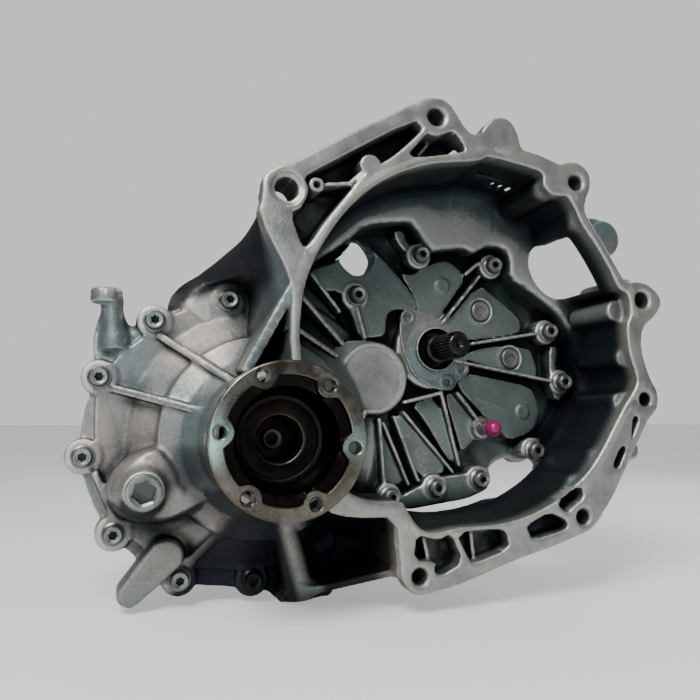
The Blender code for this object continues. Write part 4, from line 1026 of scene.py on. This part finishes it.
def gear_case():
    part = Casting((-288, 88, -188), (130, 268, 92), 2.0)
    part.add(CASE_FLANGE, CASE_FACE, 104, 0, 1.5)
    part.add(outline(BODY, 2), BODY_START, CASE_END, 6, 2.5, end=outline(BODY_BACK, 2))
    part.add(outline(DIFF_BULGE, 2), BODY_START, 146, 8, 9, end=outline(DIFF_BULGE_BACK, 2))
    part.turned(DIFF, "0,130 58,140 56,146 47,160 46,184 0,184", 6)
    part.add("-20,48 -20,76 38,76 38,48", 124, 182, 6, 2.5)
    part.turned(DIFF, "45,150 51,150 51,172 45,172", 2)
    for x, z in BELL_BOLTS + DIFF_BOLTS:
        part.add(disc(x, z, 11.5), CASE_FACE, 122, 5, 2.5, draft=0.12)
    add_case_ribs(part)
    part.add(outline(BODY_BACK, 2).grow(4), 252, CASE_END, 4, 1.5)
    part.add(disc(40, -88, 14), 150, 178, 6, 2)
    cut_case(part)
    part.keep_inside((-283.6, CASE_FACE, -191), (168, CASE_END, 120))
    place_casting(part, "gear_case_casting", 120000, "gear_case")


gear_case()

# ---- end cover -------------------------------------------------------------
COVER_OUT = rows("""
-102,18 -84,28 -50,40 -10,46 24,43 46,22 52,-10 47,-46 34,-66 0,-79 -40,-80 -72,-76 -96,-58
-107,-26 -107,0""")
COVER_BOLTS = rows("""
-94,14 -48,33 -2,38 38,20 45,-18 36,-56 -4,-72 -52,-72 -92,-50 -101,-18""")
COVER_FINS = rows("""
0,0,-4,42 0,0,46,-18 0,0,30,-62 -55,-25,-98,12 -55,-25,-100,-40 -55,-25,-52,-78
-55,-25,-50,36""")


def shrunk(share, times):
    """The cover's outline, scaled about its middle."""
    return outline([(-27 + (x + 27) * share, -18 + (z + 18) * share) for x, z in COVER_OUT], times)


def end_cover():
    part = Casting((-112, 260, -86), (58, 332, 57), 1.6)
    part.add(outline(COVER_OUT), COVER_FACE, 273, 0, 1.2)
    part.add(disc(30, 44, 9), COVER_FACE, 270, 0, 1.2)
    part.add(shrunk(0.94, 2), 266, 324, 2, 7, end=shrunk(0.86, 2))
    for x, z in COVER_BOLTS:
        part.add(disc(x, z, 7.4), COVER_FACE, 282, 4, 1.2)
    part.turned(INPUT, "0,316 26,318 24,327 0,327", 3)
    part.turned(OUTPUT, "0,316 30,318 28,327 0,327", 3)
    for ends in COVER_FINS:
        part.fin(*ends, 2, 300, 326, 322, 3)
    part.cut(shrunk(0.88, 1), 262, 320, 0.5, 2, end=shrunk(0.82, 1))
    for x, z in COVER_BOLTS:
        part.cut(disc(x, z, 2.6), 276, 290, 0, 0.3)
    part.cut(disc(-46, 30, 7), 262, 273, 0, 0.4)
    part.keep_inside((-110, COVER_FACE, -84), (56, 326.9, 55))
    place_casting(part, "end_cover_casting", 60000, "end_cover")


end_cover()


# ---- turned and fastened pieces --------------------------------------------
def mesh_from(name, points, faces):
    """Makes an object from points in millimetres."""
    data = bpy.data.meshes.new(name)
    data.from_pydata([(x * MM, (y - SHAFT_END) * MM, z * MM) for x, y, z in points], [], faces)
    bm = bmesh.new()
    bm.from_mesh(data)
    bmesh.ops.recalc_face_normals(bm, faces=bm.faces)
    bm.to_mesh(data)
    bm.free()
    made = bpy.data.objects.new(name, data)
    bpy.context.scene.collection.objects.link(made)
    return made


def turned_mesh(name, centre, profile, n=48, seat=0):
    """A closed outline of (radius, Y from the seat), turned; a radius may depend on the angle."""
    cx, cz = centre
    points, rings = [], []
    for r, y in profile:
        start = len(points)
        if not callable(r) and r < 1e-6:
            rings.append([start])
            points.append((cx, seat + y, cz))
            continue
        for i in range(n):
            a = 2 * math.pi * i / n
            q = r(a) if callable(r) else r
            points.append((cx + q * math.cos(a), seat + y, cz + q * math.sin(a)))
        rings.append(list(range(start, start + n)))
    faces = []
    for a, b in zip(rings, rings[1:] + rings[:1]):
        if len(a) == 1 and len(b) == 1:
            continue
        for i in range(n):
            j = (i + 1) % n
            if len(a) == 1:
                faces.append((a[0], b[i], b[j]))
            elif len(b) == 1:
                faces.append((a[i], a[j], b[0]))
            else:
                faces.append((a[i], a[j], b[j], b[i]))
    return mesh_from(name, points, faces)


def smooth(made):
    made.data.shade_smooth()
    made.data.set_sharp_from_angle(angle=math.radians(35))
    return made


def mark_points(made, name, rule):
    """Notes a rule's value of X, Y and Z on each point."""
    layer = made.data.attributes.new(name, "FLOAT", "POINT")
    for v, out in zip(made.data.vertices, layer.data):
        out.value = float(rule(v.co.x / MM, v.co.y / MM + SHAFT_END, v.co.z / MM))


def combine(made, other, operation):
    modifier = made.modifiers.new("cut", "BOOLEAN")
    modifier.operation = operation
    modifier.solver = "EXACT"
    modifier.object = other
    apply_modifiers(made)
    old = other.data
    bpy.data.objects.remove(other)
    bpy.data.meshes.remove(old)
    return made


def hexagon(across, turn):
    """The radius of a hexagon at an angle."""
    return lambda a: across / 2 / math.cos((a - turn) % (math.pi / 3) - math.pi / 6)


def flange_bolt(name, x, z, seat, turn, stands_for, shade_level=0.0):
    """A washer face, a round head with a stepped top, and a six-lobed recess."""
    inner, outer = 2.3, 2.9

    def recess(a):
        return (inner + outer) / 2 + (outer - inner) / 2 * math.cos(6 * (a - turn))

    profile = [(0, -3.6), (recess, -3.8), (recess, -8.1), (lambda a: recess(a) + 0.45, -8.6)]
    profile += rows("""4.3,-8.75 4.7,-9 5.5,-9 6,-8.6 6.25,-7.8 6.25,-2.9 6.7,-2.4 7.9,-2 8.3,-1.5
        8.3,-0.5 8,-0.31 4,-0.31 4,30.5 2.9,32 0,32""")
    made = smooth(turned_mesh(name, (x, z), profile, 60, seat))

    # Painted shade in the recess and in the crevices at the washer and the head, at least the bolt's own
    # level.
    def paint_shade(px, py, pz):
        r = math.hypot(px - x, pz - z)
        if r < 3.6 and seat - 8.3 < py < seat:
            return max(shade_level, 0.72)
        if r > 8.2 and py > seat - 1.0 or 6.1 < r < 6.9 and py > seat - 3.2:
            return max(shade_level, 0.6)
        return shade_level

    mark_points(made, "hollow", paint_shade)
    place(made, "zinc_bolt", stands_for)


for i, (x, z) in enumerate(BELL_BOLTS):
    flange_bolt(f"bell_bolt_head_{i + 1}", x, z, 72, 0.35 * i, f"bell_bolt_{i + 1}")
for i, (x, z) in enumerate(DIFF_BOLTS):
    # The last case bolt sits in the painted shadow low down, so it gets painted shade all over.
    shade_level = 0.8 if i == 6 else 0.0
    flange_bolt(f"case_bolt_head_{i + 1}", x, z, 76, 0.45 * i + 0.2, f"case_bolt_{i + 1}", shade_level)

for i, place_xz in enumerate(COVER_BOLTS):
    socket = hexagon(5.0, 0.3 * i)
    profile = [(0, 3.6), (socket, 3.6), (socket, 7.6)]
    profile += rows("""4.4,8 5,7.6 5.2,7 5.2,2.6 6.8,2.2 7,1.6 7,0.6 6.6,0.3 2.4,0.3 2.4,-5
        0,-5""")
    bolt = turned_mesh(f"cover_bolt_{i + 1}", place_xz, profile, 42, seat=282)
    place(smooth(bolt), "zinc_bolt")

for name in ("selector_cover", "selector_shaft", "selector_lever", "select_collar", "relay_lever"):
    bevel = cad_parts[name].modifiers.new("edges", "BEVEL")
    bevel.width = 0.7 * MM
    bevel.segments = 2
    bevel.limit_method = "ANGLE"
    bevel.angle_limit = math.radians(38)


def filler_plug():
    socket = hexagon(14.0, 0.3)
    profile = [(0, 9), (socket, 8.6), (socket, -4.6)]
    profile += rows("""9,-5.8 10.6,-6 11.6,-5.6 12,-4.6 12,-1.4 11.4,-0.8 11.4,-0.35 9,-0.35 8.7,1
        8.7,12.6 7.8,14 0,14""")
    plug = smooth(turned_mesh("filler_plug_turned", FILLER, profile, 60, seat=32))

    # Painted shade in the plug's hex socket.
    def paint_shade(x, y, z):
        return 0.5 if math.hypot(x - FILLER[0], z - FILLER[1]) < 8.5 and y > 27.7 else 0.0

    mark_points(plug, "hollow", paint_shade)
    place(plug, "zinc_bolt", "filler_plug")


filler_plug()

for k, place_xz in enumerate(CORE_PLUGS):
    socket = hexagon(8.2, 0.2 + k)
    profile = [(0, 0.6), (socket, 0.4), (socket, -1.6)]
    profile += rows("6.2,-2.2 7.6,-2.2 8.3,-1.6 8.5,-0.6 8.5,3 0,3")
    core = turned_mesh(f"core_plug_{k + 1}", place_xz, profile, seat=76.4)
    place(smooth(core), "cast_aluminium")


def guide_plate():
    """Release bearing guide: ears at three corners, a raised collar round the shaft."""
    ears = """-24,33 -31,26 -31,6 -25,-10 -18,-24 4,-34 17,-34 21,-24 32,-19 30,-8 22,8 16,22
        -14,32"""
    part = Casting((-34, 66, -37), (35, 78, 36), 0.5)
    part.add(outline(ears, 2, 0.25), 73.2, 75.7, 0, 0.6)
    for x, z in PLATE_HOLES:
        part.add(disc(x, z, 6.2), 72.4, 75.7, 1.5, 0.6)
    part.turned(INPUT, """12,75.7 12,68.6 17.6,68.6 18.4,69.6 18.4,72 22,72.6 24.5,73.2
        24.5,75.7""", 0.8)
    part.turned(INPUT, "0,60 17,60 17,69.2 13.6,74.6 13.6,80 0,80", 0.3, True)
    # Painted shade on the inner part of the collar and in the bore round the shaft.
    part.shades.append(lambda co, normal: 0.95 * (np.hypot(co[:, 0], co[:, 2]) < 17.2))
    for x, z in PLATE_HOLES:
        part.cut(disc(x, z, 2.8), 70, 78, 0, 0.4)
        part.cut(disc(x, z, 3.8), 70, 73.2, 0, 0.4)
    part.cut(disc(*INPUT, 12.7), 60, 80, 0, 0.5)
    place_casting(part, "guide_plate", 60000, "release_guide_plate")


guide_plate()

STUD_PROFILE = rows("""
0,3 4,3 4,-0.4 8.6,-0.4 9,-0.9 9,-6.2 8.4,-7 6.2,-7.4 5.8,-9.6 4.2,-12 3.9,-18 3.9,-24.6 3.2,-25
0,-25""")
stud = turned_mesh("pivot_stud", STUD, STUD_PROFILE, 40, seat=80)
place(smooth(stud), "steel", "release_pivot_stud")
CAP_PROFILE = rows("""
0,-25.3 4.1,-25.3 4.1,-18.7 4.3,-18.4 5.6,-18.2 6.3,-19.2 6.7,-21.2 6.8,-23.8 6.5,-26.2 5.8,-28.4
4.6,-30.1 3.2,-31.2 1.6,-31.8 0,-32""")
cap = turned_mesh("stud_cap", STUD, CAP_PROFILE, seat=80)
place(smooth(cap), "cap_plastic", "pivot_stud_cap")
SEAL_PROFILE = rows("""
34.3,-3 34.9,-5.2 36.2,-6 37.2,-5.8 37.6,-5.2 37.6,5.6 37,6 34.8,6 34.3,3""")
seal = turned_mesh("flange_seal", DIFF, SEAL_PROFILE, 72)
place(smooth(seal), "seal_rubber", "flange_seal_right")

# ---- input shaft, with its splines and fixed gears -------------------------
# shaft distances follow from the teeth of each meshing pair, counted together
INPUT_OUTPUT_TEETH, INPUT_IDLER_TEETH, IDLER_OUTPUT_TEETH = 38, 24, 37
OUTPUT_DISTANCE = math.dist(INPUT, OUTPUT)
MODULE = 2 * OUTPUT_DISTANCE / INPUT_OUTPUT_TEETH
IDLER_DISTANCE = MODULE * INPUT_IDLER_TEETH / 2
TO_OUTPUT = math.atan2(OUTPUT[1], OUTPUT[0])
TO_IDLER = TO_OUTPUT + math.acos(
    (IDLER_DISTANCE**2 + OUTPUT_DISTANCE**2 - (MODULE * IDLER_OUTPUT_TEETH / 2) ** 2)
    / (2 * IDLER_DISTANCE * OUTPUT_DISTANCE)
)
GEARS = (  # teeth, angle of the first tooth, Y of both faces
    (9, TO_OUTPUT, 128, 142), (13, TO_OUTPUT, 168, 182), (22, TO_OUTPUT, 268, 280),
    (10, TO_IDLER, 306, 316),
)


def spline(root, tip):
    """The radius round the shaft's 26 splines at an angle."""
    def radius(a):
        t = (a * 26 / (2 * math.pi)) % 1.0
        rise = min(1.0, max(0.0, (0.36 - abs(t - 0.5)) / 0.10))
        return root + (tip - root) * rise
    return radius


def gear_mesh(teeth, phase, y0, y1):
    pitch = 2 * math.pi / teeth
    r = MODULE * teeth / 2
    tip, root = r + 0.72 * MODULE, r - 0.98 * MODULE
    foot, shoulder = root + 0.12 * MODULE, tip - 0.1 * MODULE
    half = [(0.10, tip), (0.13, shoulder), (0.27, foot), (0.34, root)]
    tooth = [(-share, q) for share, q in half[::-1]] + half
    rim = []
    for k in range(teeth):
        for share, q in tooth:
            a = phase + (k + share) * pitch
            rim.append((q * math.cos(a), q * math.sin(a)))
    points = [(INPUT[0] + u, y, INPUT[1] + v) for y in (y0, y1) for u, v in rim]
    n = len(rim)
    faces = [tuple(range(n)), tuple(range(n, 2 * n))]
    faces += [(i, (i + 1) % n, n + (i + 1) % n, n + i) for i in range(n)]
    return mesh_from("gear", points, faces)


def input_shaft():
    outer, inner = spline(8.9, 10.5), spline(8.2, 9.0)
    profile = rows("0,31 2.2,30.2 3.6,28.6 4,28 7.6,28 8.4,28.6")
    profile += [(inner, 29.2), (outer, 31.2), (outer, 60.0), (inner, 62.4)]
    profile += rows("""9.4,63.2 11.2,64 11.8,66 11.85,80 11.85,234 13.3,234.4 13.3,258.8 12,259.2
        12,316 11,317 0,317""")
    shaft = turned_mesh("input_shaft_splined", INPUT, profile, 260)
    for gear in GEARS:
        shaft = combine(shaft, gear_mesh(*gear), "UNION")
    hub = rows("0,207 21.4,207 22,207.6 22,222.4 21.4,223 0,223")
    shaft = combine(shaft, turned_mesh("hub", INPUT, hub), "UNION")
    place(smooth(shaft), "dark_steel", "input_shaft", "input")


input_shaft()

# ---- drive flanges ---------------------------------------------------------
HOLE_CIRCLE = 43
LOBES = [math.radians(53.3 + 60 * k) for k in range(6)]
CUP_INSIDE = rows("""
0,24 2.6,24 3.2,20.6 5,20 6.4,20 6.8,20.8 7,25.6 7.6,26.4 13.4,26.4 14,25.6 14.4,24 14.6,2.4
15.2,0.2 16.2,-0.8 18.2,-1.2 25.4,-1.2 26,-2.6 27,-3.2 28.6,-3.4 31.2,-8 33,-23 33.6,-24.2
33.9,-24.8""")
CUP_OUTSIDE = rows("""
48.4,-31.3 49.5,-30.9 50,-30.2 50,-28.3 49.3,-27.8 49.3,-26.8 50,-26.3 50,-20.8 49.2,-20
34.1,-18 34.1,4.6 33.4,5 17.5,5.5 17.5,28.4 15,29.4 15,52 12,55""")


def lobed(a, more=0.0):
    """The ring's inner edge: round, with an ear in towards the axis round each bolt hole."""
    gap = min(abs((a - lobe + math.pi) % (2 * math.pi) - math.pi) for lobe in LOBES)
    side = HOLE_CIRCLE * math.sin(min(gap, 1.2))
    ear = HOLE_CIRCLE * math.cos(gap)
    ear = ear - math.sqrt(8.6**2 - side**2) if side < 8.6 else ear + 1.5 * (side - 8.6)
    return float(smooth_min(ear, 40.8, 4.0)) + more


def drive_flange(name, node, body, y, end):
    """A cup on the differential's axis; y turns a place along it into Y, and end is its tail."""
    ring = [
        (lambda a: lobed(a, -0.2), -25.4), (lobed, -26.2), (lobed, -30.6),
        (lambda a: lobed(a, 0.7), -31.3),
    ]
    profile = CUP_INSIDE + ring + CUP_OUTSIDE + [(12, end), (0, end)]
    made = turned_mesh(name, DIFF, [(r, y(p)) for r, p in profile], 180)
    hole_profile = rows("0,-34 5.4,-34 5,-31.3 4.1,-30.4 4.1,-15 0,-15")
    for a in LOBES:
        centre = (DIFF[0] + HOLE_CIRCLE * math.cos(a), DIFF[1] + HOLE_CIRCLE * math.sin(a))
        hole = turned_mesh("hole", centre, [(r, y(p)) for r, p in hole_profile], 24)
        made = combine(made, hole, "DIFFERENCE")
    smooth(made)
    face = y(-31.3)

    # Painted shade in the cup, growing over the first 4 mm of depth; some rings and the small bore are
    # shaded less, the face and rim outside not at all.
    def paint_shade(px, py, pz):
        r = math.hypot(px - DIFF[0], pz - DIFF[1])
        depth = abs(py - face)
        if r >= 41 and depth <= 12.5:
            return 0.0
        ring = 1.0
        if (13 < r < 17.6 and 26 < depth < 36) or (4.8 < r < 6.9 and depth < 53):
            ring = 0.50
        elif 25.8 < r < 28.8 and depth < 29:
            ring = 0.93
        return ring * min(1.0, depth / 4.0)

    def paint_reflection(px, py, pz):
        """A painted reflection: a bright bow tie across the face, widest along X."""
        u, w = px - DIFF[0], pz - DIFF[1]
        if abs(py - face) < 4 and math.hypot(u, w) > 34:
            return (u * u / max(1e-6, u * u + w * w)) ** 14
        return 0.0

    mark_points(made, "hollow", paint_shade)
    mark_points(made, "painted_reflection", paint_reflection)
    place(made, "flange_steel", node, body)


drive_flange("drive_flange_cup_right", "drive_flange_right", "right_drive", lambda p: p, 83)
drive_flange("drive_flange_cup_left", "drive_flange_left", "left_drive", lambda p: 180 - p, 77)


# ---- stage, in metres ------------------------------------------------------
def pale_floor():
    """A matt floor that glows a little, but only to the camera."""
    mat = Nodes("pale_floor")
    shade = mat.patches(scale=3, low=0.3, high=0.7)
    tone = mat.mix(shade, (0.78, 0.78, 0.78), (0.84, 0.84, 0.835))
    rough = mat.patches(scale=40, low=0.3, high=0.7, out_low=0.75, out_high=0.9)
    bump = mat.bump(mat.noise(scale=200), strength=0.05, distance=0.001)
    mat.close(tone, rough, metallic=0.0, normal=bump)
    glow = mat.make("ShaderNodeEmission")
    mat.fill(glow, Strength=0.42)
    both = mat.make("ShaderNodeAddShader")
    seen_by = mat.make("ShaderNodeMixShader")
    lit = mat.shader.outputs[0]
    mat.put(both.inputs[0], lit)
    mat.put(both.inputs[1], glow.outputs[0])
    mat.fill(seen_by, Fac=mat.make("ShaderNodeLightPath").outputs["Is Camera Ray"])
    mat.put(seen_by.inputs[1], lit)
    mat.put(seen_by.inputs[2], both.outputs[0])
    mat.fill(mat.tree.nodes["Material Output"], Surface=seen_by.outputs[0])
    return mat.material


bpy.ops.mesh.primitive_plane_add(size=60, location=(0, 2.0, cad_box[0][2] - 0.0005))
floor = bpy.context.object
floor.name = "floor"
floor.data.materials.append(pale_floor())


def studio():
    """The camera sees an even grey; the pieces are lit by a sky that darkens downwards."""
    world = bpy.data.worlds.new("studio")
    bpy.context.scene.world = world
    world.use_nodes = True
    nodes, link = world.node_tree.nodes, world.node_tree.links.new
    sky = nodes["Background"]
    sky.inputs["Strength"].default_value = 0.30
    room = nodes.new("ShaderNodeBackground")
    room.inputs["Color"].default_value = (0.80, 0.80, 0.80, 1)
    room.inputs["Strength"].default_value = 1.0
    height = nodes.new("ShaderNodeSeparateXYZ")
    link(nodes.new("ShaderNodeTexCoord").outputs["Generated"], height.inputs[0])
    shade = nodes.new("ShaderNodeValToRGB")
    low, high = shade.color_ramp.elements
    low.position, low.color = 0.42, (0.10, 0.13, 0.17, 1)
    high.position, high.color = 0.95, (1.0, 1.0, 0.98, 1)
    span = nodes.new("ShaderNodeMapRange")
    span.inputs["From Min"].default_value = -1.0
    link(height.outputs["Z"], span.inputs["Value"])
    link(span.outputs["Result"], shade.inputs["Fac"])
    link(shade.outputs["Color"], sky.inputs["Color"])
    choose = nodes.new("ShaderNodeMixShader")
    link(nodes.new("ShaderNodeLightPath").outputs["Is Camera Ray"], choose.inputs["Fac"])
    link(sky.outputs[0], choose.inputs[1])
    link(room.outputs[0], choose.inputs[2])
    link(choose.outputs[0], nodes["World Output"].inputs["Surface"])


studio()


def lamp(name, at, towards, size, power, colour):
    data = bpy.data.lights.new(name, "AREA")
    data.shape = "RECTANGLE"
    data.size = data.size_y = size
    data.energy = power
    data.color = colour
    made = bpy.data.objects.new(name, data)
    bpy.context.scene.collection.objects.link(made)
    made.location = at
    made.rotation_mode = "QUATERNION"
    made.rotation_quaternion = (Vector(towards) - Vector(at)).to_track_quat("-Z", "Y")


lamp("key", at=(-0.72, -0.85, 1.00), towards=(-0.08, 0.0, -0.02), size=0.60, power=23.0,
     colour=(1.0, 0.97, 0.92))
lamp("fill", at=(-0.55, -1.3, -0.10), towards=(-0.05, 0.0, -0.02), size=0.7, power=2.6,
     colour=(0.74, 0.90, 1.0))
lamp("rim", at=(0.9, 0.5, 0.7), towards=(0.0, 0.05, 0.0), size=0.6, power=4.0,
     colour=(0.88, 0.95, 1.0))

camera_data = bpy.data.cameras.new("camera")
camera = bpy.data.objects.new("camera", camera_data)
bpy.context.scene.collection.objects.link(camera)
camera_data.lens = camera_data.sensor_width = 36.0
camera_data.clip_start = 0.02
camera_data.clip_end = 40.0
camera.matrix_world = Matrix((
    (0.9478, -0.0325, -0.3173, -0.25146),
    (-0.3190, -0.0966, -0.9428, -0.48102),
    (0.0, 0.9948, -0.1019, -0.05958),
    (0, 0, 0, 1),
))
bpy.context.scene.camera = camera
